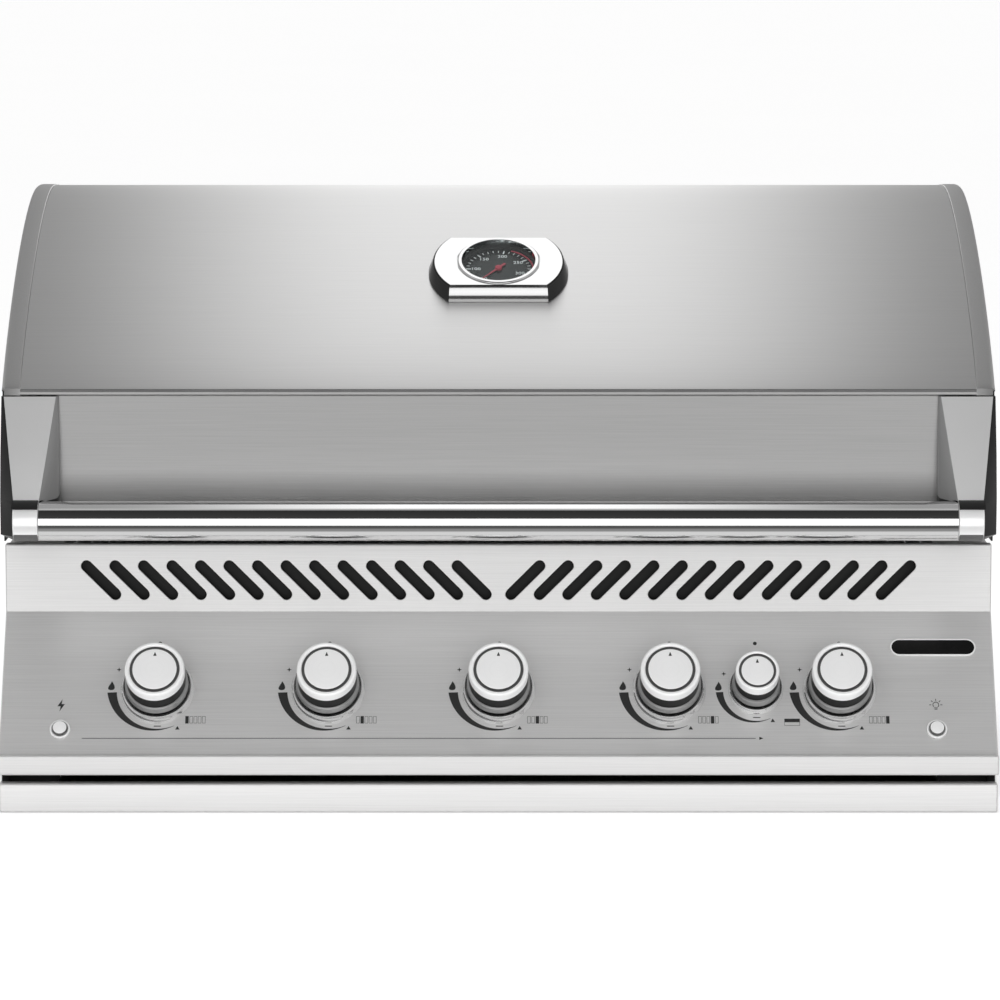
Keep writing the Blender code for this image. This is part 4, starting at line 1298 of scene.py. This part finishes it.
def knobMarks(name):
    about = marks["small" if name == "rear" else "large"]
    x, y = about["foot"]
    dot, dotUp = marks["dot"]
    group = [
        crescent(about["inner"], about["wide"]),
        shifted(droplet(marks["flame"]), *about["flame"]),
        shifted(spark(marks["spark"]), *about["spark"]),
        filled(0, about["dash"], *marks["dash"]),
        shifted(printed(arcLine((0, 0), dot, 0, 345, 23)), 0, dotUp),
        printed([(x - 0.0022, y - 0.0016), (x + 0.0022, y - 0.0016), (x, y + 0.0022)]),
    ]
    if name == "rear":
        x, y, width, height = marks["rearSign"]
        group += framed(*marks["rearSign"]) + [filled(x, y + 0.0018, width, height / 2)]
    else:
        group += burnerSign(int(name))
    return [shifted(shape, *about["shift"]) for shape in group]


def makeMarks():
    shapes = []
    for name, place in knobPlaces.items():
        shapes += [moved(shape, place) for shape in knobMarks(name)]
    left, right, down = marks["level"]
    level = [filled((left + right) / 2, 0, right - left, 0.0006),
             printed([(right + 0.0035, -0.0016), (right + 0.0075, 0), (right + 0.0035, 0.0016)])]
    shapes += [moved(shape, onSlope(0, down)) for shape in level]
    for name, group in (("ignition", [printed(marks["bolt"])]), ("light", bulbMark())):
        shapes += [moved(shape, onSlope(button[name], marks["buttonDown"])) for shape in group]
    addPiece("panel_marks", joined(shapes), ["black_ink"], "base", None)


makeMarks()
print("marks printed")


# Drip tray front

trayFront = {"bend": 0.0025, "hang": 0.0012}  # the bend hangs a little lower than the plain solid


def makeTrayFront():
    low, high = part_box("tray_front")
    bend, foot = trayFront["bend"], low.z - trayFront["hang"]
    line = softLine([(high.y, foot), (low.y, foot, bend), (low.y, high.z, bend), (high.y, high.z)], 6)
    inside = offsetLine(line, -panel["sheet"])
    past = high.y + 0.01
    inside[0] = (past, inside[0][1])
    inside[-1] = (past, inside[-1][1])
    wall = high.x - panel["sheet"]
    shape = carved(eased(line, high.x, -1), newPrism(inside, -wall, wall))
    addPiece("tray_face", shape, ["trim_steel"], "drip_tray", "tray_front", smooth=25)


makeTrayFront()


# Cooking grids: round rods welded across two flat bars, with a stay rod under their middle

grid = {"rod": 0.0040, "rods": 17, "barHalf": 0.005, "barMiddle": 0.0040, "stay": 0.0030, "stayY": 0.02}


def lengthwise(low, high, rods, radius, sides, bevel):
    # rods that run from front to back under a node's top
    z = high.z - radius
    return [newRod((x, low.y, z), (x, high.y, z), radius, sides, bevel) for x in rods]


def makeGrid(label):
    low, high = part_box("cooking_grid_" + label)
    radius, half, stay = grid["rod"], grid["barHalf"], grid["stay"]
    bars = []
    for y in (low.y + grid["barMiddle"], high.y - grid["barMiddle"]):
        bars.append(newBox((low.x, y - half, low.z), (high.x, y + half, high.z - 1.4 * radius)))
    under = (grid["stayY"], high.z - 2 * radius - 0.8 * stay)
    bars.append(newRod((low.x + 0.002, *under), (high.x - 0.002, *under), stay, 16, 0.0006))
    edge = radius + 0.001
    pitch = (high.x - low.x - 2 * edge) / (grid["rods"] - 1)
    places = [low.x + edge + number * pitch for number in range(grid["rods"])]
    shape = carved(joined(bars), joined(lengthwise(low, high, places, radius, 20, 0.0008)), "UNION")
    addPiece("grid_" + label, shape, ["rod_steel"], "base", "cooking_grid_" + label)


for label in ("left", "middle", "right"):
    makeGrid(label)


# Warming rack: long rods over three cross rods; the outer two reach into the wings

rack = {"rod": 0.003, "rods": 9, "short": 0.026, "endY": 0.012, "cross": 0.401}


def makeRack():
    low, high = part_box("warming_rack")
    radius, last = rack["rod"], rack["rods"] - 1
    first = low.y + rack["endY"]
    span = high.y - rack["endY"] - first
    longRods = []
    for number in range(rack["rods"]):
        side = (first + number * span / last, low.z + radius)
        reach = high.x if number in (0, last) else high.x - rack["short"]
        longRods.append(newRod((-reach, *side), (reach, *side), radius, 18, 0.0006))
    crossRods = lengthwise(low, high, (-rack["cross"], 0, rack["cross"]), radius, 18, 0.0006)
    shape = carved(joined(longRods), joined(crossRods), "UNION")
    addPiece("rack", shape, ["rod_steel"], "base", "warming_rack")


makeRack()


# Tube burners: a flared mouth over the valve's nozzle, a ported tube and a pin at the back

burner = {"throat": -0.192, "mouthEnd": -0.150, "tubeFrom": -0.125, "tubeTo": 0.213, "pinFrom": 0.230,
          "pin": 0.0045}


def makeBurner(number):
    node = "burner_" + str(number)
    low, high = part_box(node)
    middle = (low + high) / 2
    tube = (high.z - low.z) / 2
    mouth = tube - 0.004
    pin = burner["pin"]
    profile = softLine([
        (0, -0.185), (mouth - 0.003, burner["throat"], 0.001), (mouth - 0.002, low.y, 0.0004),
        (mouth, low.y, 0.0004), (mouth, burner["mouthEnd"], 0.02), (tube, burner["tubeFrom"], 0.02),
        (tube, burner["tubeTo"], 0.003), (pin, burner["pinFrom"], 0.003), (pin, high.y, 0.001), (0, high.y),
    ], 5)
    shape = moved(newTurned(profile, 48), Matrix.Rotation(math.radians(-90), 4, "X"))
    addPiece("tube_" + node, shape, ["burner_steel"], "base", node,
             Matrix.Translation((middle.x, 0, middle.z)))


for number in range(1, 6):
    makeBurner(number)


# Infrared rear burner: ceramic tiles in a folded housing, behind four guard bars

rearBurner = {"border": 0.012, "depth": 0.008, "tiles": 4, "tileFront": 0.0065, "joint": 0.0012,
              "gap": 0.0004, "bars": 4, "bar": 0.002, "firstBar": 0.027, "pitch": 0.0155, "barIn": 0.004}


def makeRearBurner():
    low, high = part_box("rear_burner")
    border, barIn, gap = rearBurner["border"], rearBurner["barIn"], rearBurner["gap"]
    left, right, floor, top = low.x + border, high.x - border, low.z + border, high.z - border
    recess = newBox((left, low.y - 0.01, floor), (right, low.y + rearBurner["depth"], top))
    shape = carved(softened(newBox(low, high), 0.0015), recess)
    bars = []
    for number in range(rearBurner["bars"]):
        side = (low.y + barIn, low.z + rearBurner["firstBar"] + number * rearBurner["pitch"])
        bars.append(newRod((low.x + barIn, *side), (high.x - barIn, *side), rearBurner["bar"], 16))
    addPiece("infrared_housing", carved(shape, joined(bars), "UNION"), ["inner_steel"], "base", "rear_burner")
    wide = (right - left) / rearBurner["tiles"]
    half = rearBurner["joint"] / 2
    tiles = []
    for number in range(rearBurner["tiles"]):
        x = left + number * wide
        tile = newBox((x + half, low.y + rearBurner["tileFront"], floor + gap),
                      (x + wide - half, low.y + rearBurner["depth"] - 0.0001, top - gap))
        tiles.append(softened(tile, 0.0004, 1))
    addPiece("infrared_tiles", joined(tiles), ["burner_tile"], "base", None)


makeRearBurner()
print("grids, rack and burners made")


# Carried-over pieces keep their solids and get their finish

carried = {
    "casing": "casing_steel",
    "firebox": "inner_steel",
    "lid_liner": "inner_steel",
    "drip_tray_pan": "mill_steel",
    "gas_manifold": "turned_brass",
    "ignition_module": "black_body_and_shade",
}
for number in range(1, 6):
    carried["sear_plate_" + str(number)] = "inner_steel"
for name, look in carried.items():
    node = frame["nodes"][name]
    node.data.materials.clear()
    node.data.materials.append(finishes[look])
print("carried nodes finished:", len(carried))


# Floor, light and camera

studio = {
    "floorRadius": 70,
    "floorTop": -0.0002,
    # angle from the front horizon over the top to the back, in degrees, and radiance there
    "arch": ((-180, 1.00), (-110, 0.75), (-95, 0.75), (-62, 0.75), (-55, 0.30), (-42, 0.28), (-36, 0.10),
             (-21, 0.10), (-18, 1.60), (0, 1.75), (18, 1.60), (21, 0.05), (70, 0.03), (78, 0.55), (110, 0.70),
             (150, 0.80), (180, 1.00)),
    "sides": 0.50,
    "flat": (0.25, 0.65),  # share of the way to the side where the arch gives over to the sides
    "strength": 2.0,
    # a glowing sheet bent over the grill from the back to the front, brightest over its middle
    "tent": {"middle": (0.05, 0.45), "radius": 1.3, "from": 5, "to": 112, "half": 2.0},
    "glow": {"bright": 1.20, "faint": 0.36, "core": 0.12, "spread": 0.66},
    "fill": {"place": (0, -2.6, 1.9), "aim": (0, -0.2, 0.2), "width": 3.2, "length": 2.0, "radiance": 2.0},
    "camera": {"place": (0.0015, -5.0, 0.883), "tilt": -7.0, "lens": 176.4},
}


def paleFloor(nodes):
    return {
        "Base Color": nodes.mix(nodes.noise(0.8), grey(0.90), grey(0.93)),
        "Roughness": 0.9,
        "Emission Color": grey(1.0),
        "Emission Strength": 0.50,
    }


def tentLight(nodes, bright, faint, core, spread):
    x, y, z = nodes.parts()
    glow = nodes.mix(nodes.between(x.maths("ABSOLUTE"), core, spread), grey(bright), grey(faint))
    return nodes.add("Emission", {}, {"Color": glow, "Strength": 1.0})


def makeFloor():
    top = studio["floorTop"]
    floor = newObject("floor", toMesh("floor", newPlate(arcLine((0, 0), studio["floorRadius"], 0, 354, 59),
                                                        top - 0.01, top)))
    floor.data.materials.append(newMaterial("studio_floor", paleFloor))
    floor.visible_glossy = False


def makeTent():
    tent = studio["tent"]
    line = arcLine(tent["middle"], tent["radius"], tent["from"], tent["to"], 40)
    mesh = bpy.data.meshes.new("tent")
    left, right = [[(side * tent["half"], y, z) for y, z in line] for side in (-1, 1)]
    faces = [(i, i + 1, len(line) + i + 1, len(line) + i) for i in range(len(line) - 1)]
    mesh.from_pydata(left + right, [], faces)
    mesh.materials.append(newMaterial("tent_light", tentLight, **studio["glow"]))
    sheet = newObject("tent", mesh)
    sheet.visible_camera = False
    sheet.visible_shadow = False


def makeWorld():
    world = bpy.data.worlds.new("studio")
    world.use_nodes = True
    bpy.context.scene.world = world
    nodes = Nodes(world.node_tree)
    strength = studio["strength"]
    x, y, z = nodes.parts("Generated")
    turn = z.maths("ARCTAN2", z, 0 - y) / (2 * math.pi) + 0.5
    stops = [((angle + 180) / 360, grey(level / strength)) for angle, level in studio["arch"]]
    arch = nodes.ramp(turn, stops)
    flat = nodes.between(x.maths("ABSOLUTE"), *studio["flat"])
    tone = nodes.mix(flat, arch, grey(studio["sides"] / strength))
    light = nodes.add("Background", {}, {"Color": tone, "Strength": strength})
    nodes.add("OutputWorld", {}, {"Surface": light})


def makeFill():
    # wide soft light from the front, kept out of the reflections
    fill = studio["fill"]
    lamp = bpy.data.lights.new("fill", "AREA")
    lamp.shape = "RECTANGLE"
    lamp.size = fill["width"]
    lamp.size_y = fill["length"]
    lamp.energy = fill["radiance"] * math.pi * fill["width"] * fill["length"]
    holder = newObject("fill", lamp)
    holder.location = fill["place"]
    holder.rotation_mode = "QUATERNION"
    holder.rotation_quaternion = (Vector(fill["aim"]) - Vector(fill["place"])).to_track_quat("-Z", "Y")
    holder.visible_camera = False
    holder.visible_glossy = False


def makeCamera():
    view = studio["camera"]
    camera = bpy.data.cameras.new("camera")
    camera.lens = view["lens"]
    camera.sensor_width = 36
    camera.clip_end = 200
    holder = newObject("camera", camera)
    holder.location = view["place"]
    holder.rotation_euler = (math.radians(90 + view["tilt"]), 0, 0)
    bpy.context.scene.camera = holder


makeFloor()
makeWorld()
makeTent()
makeFill()
makeCamera()
bpy.context.scene.view_settings.view_transform = "Standard"
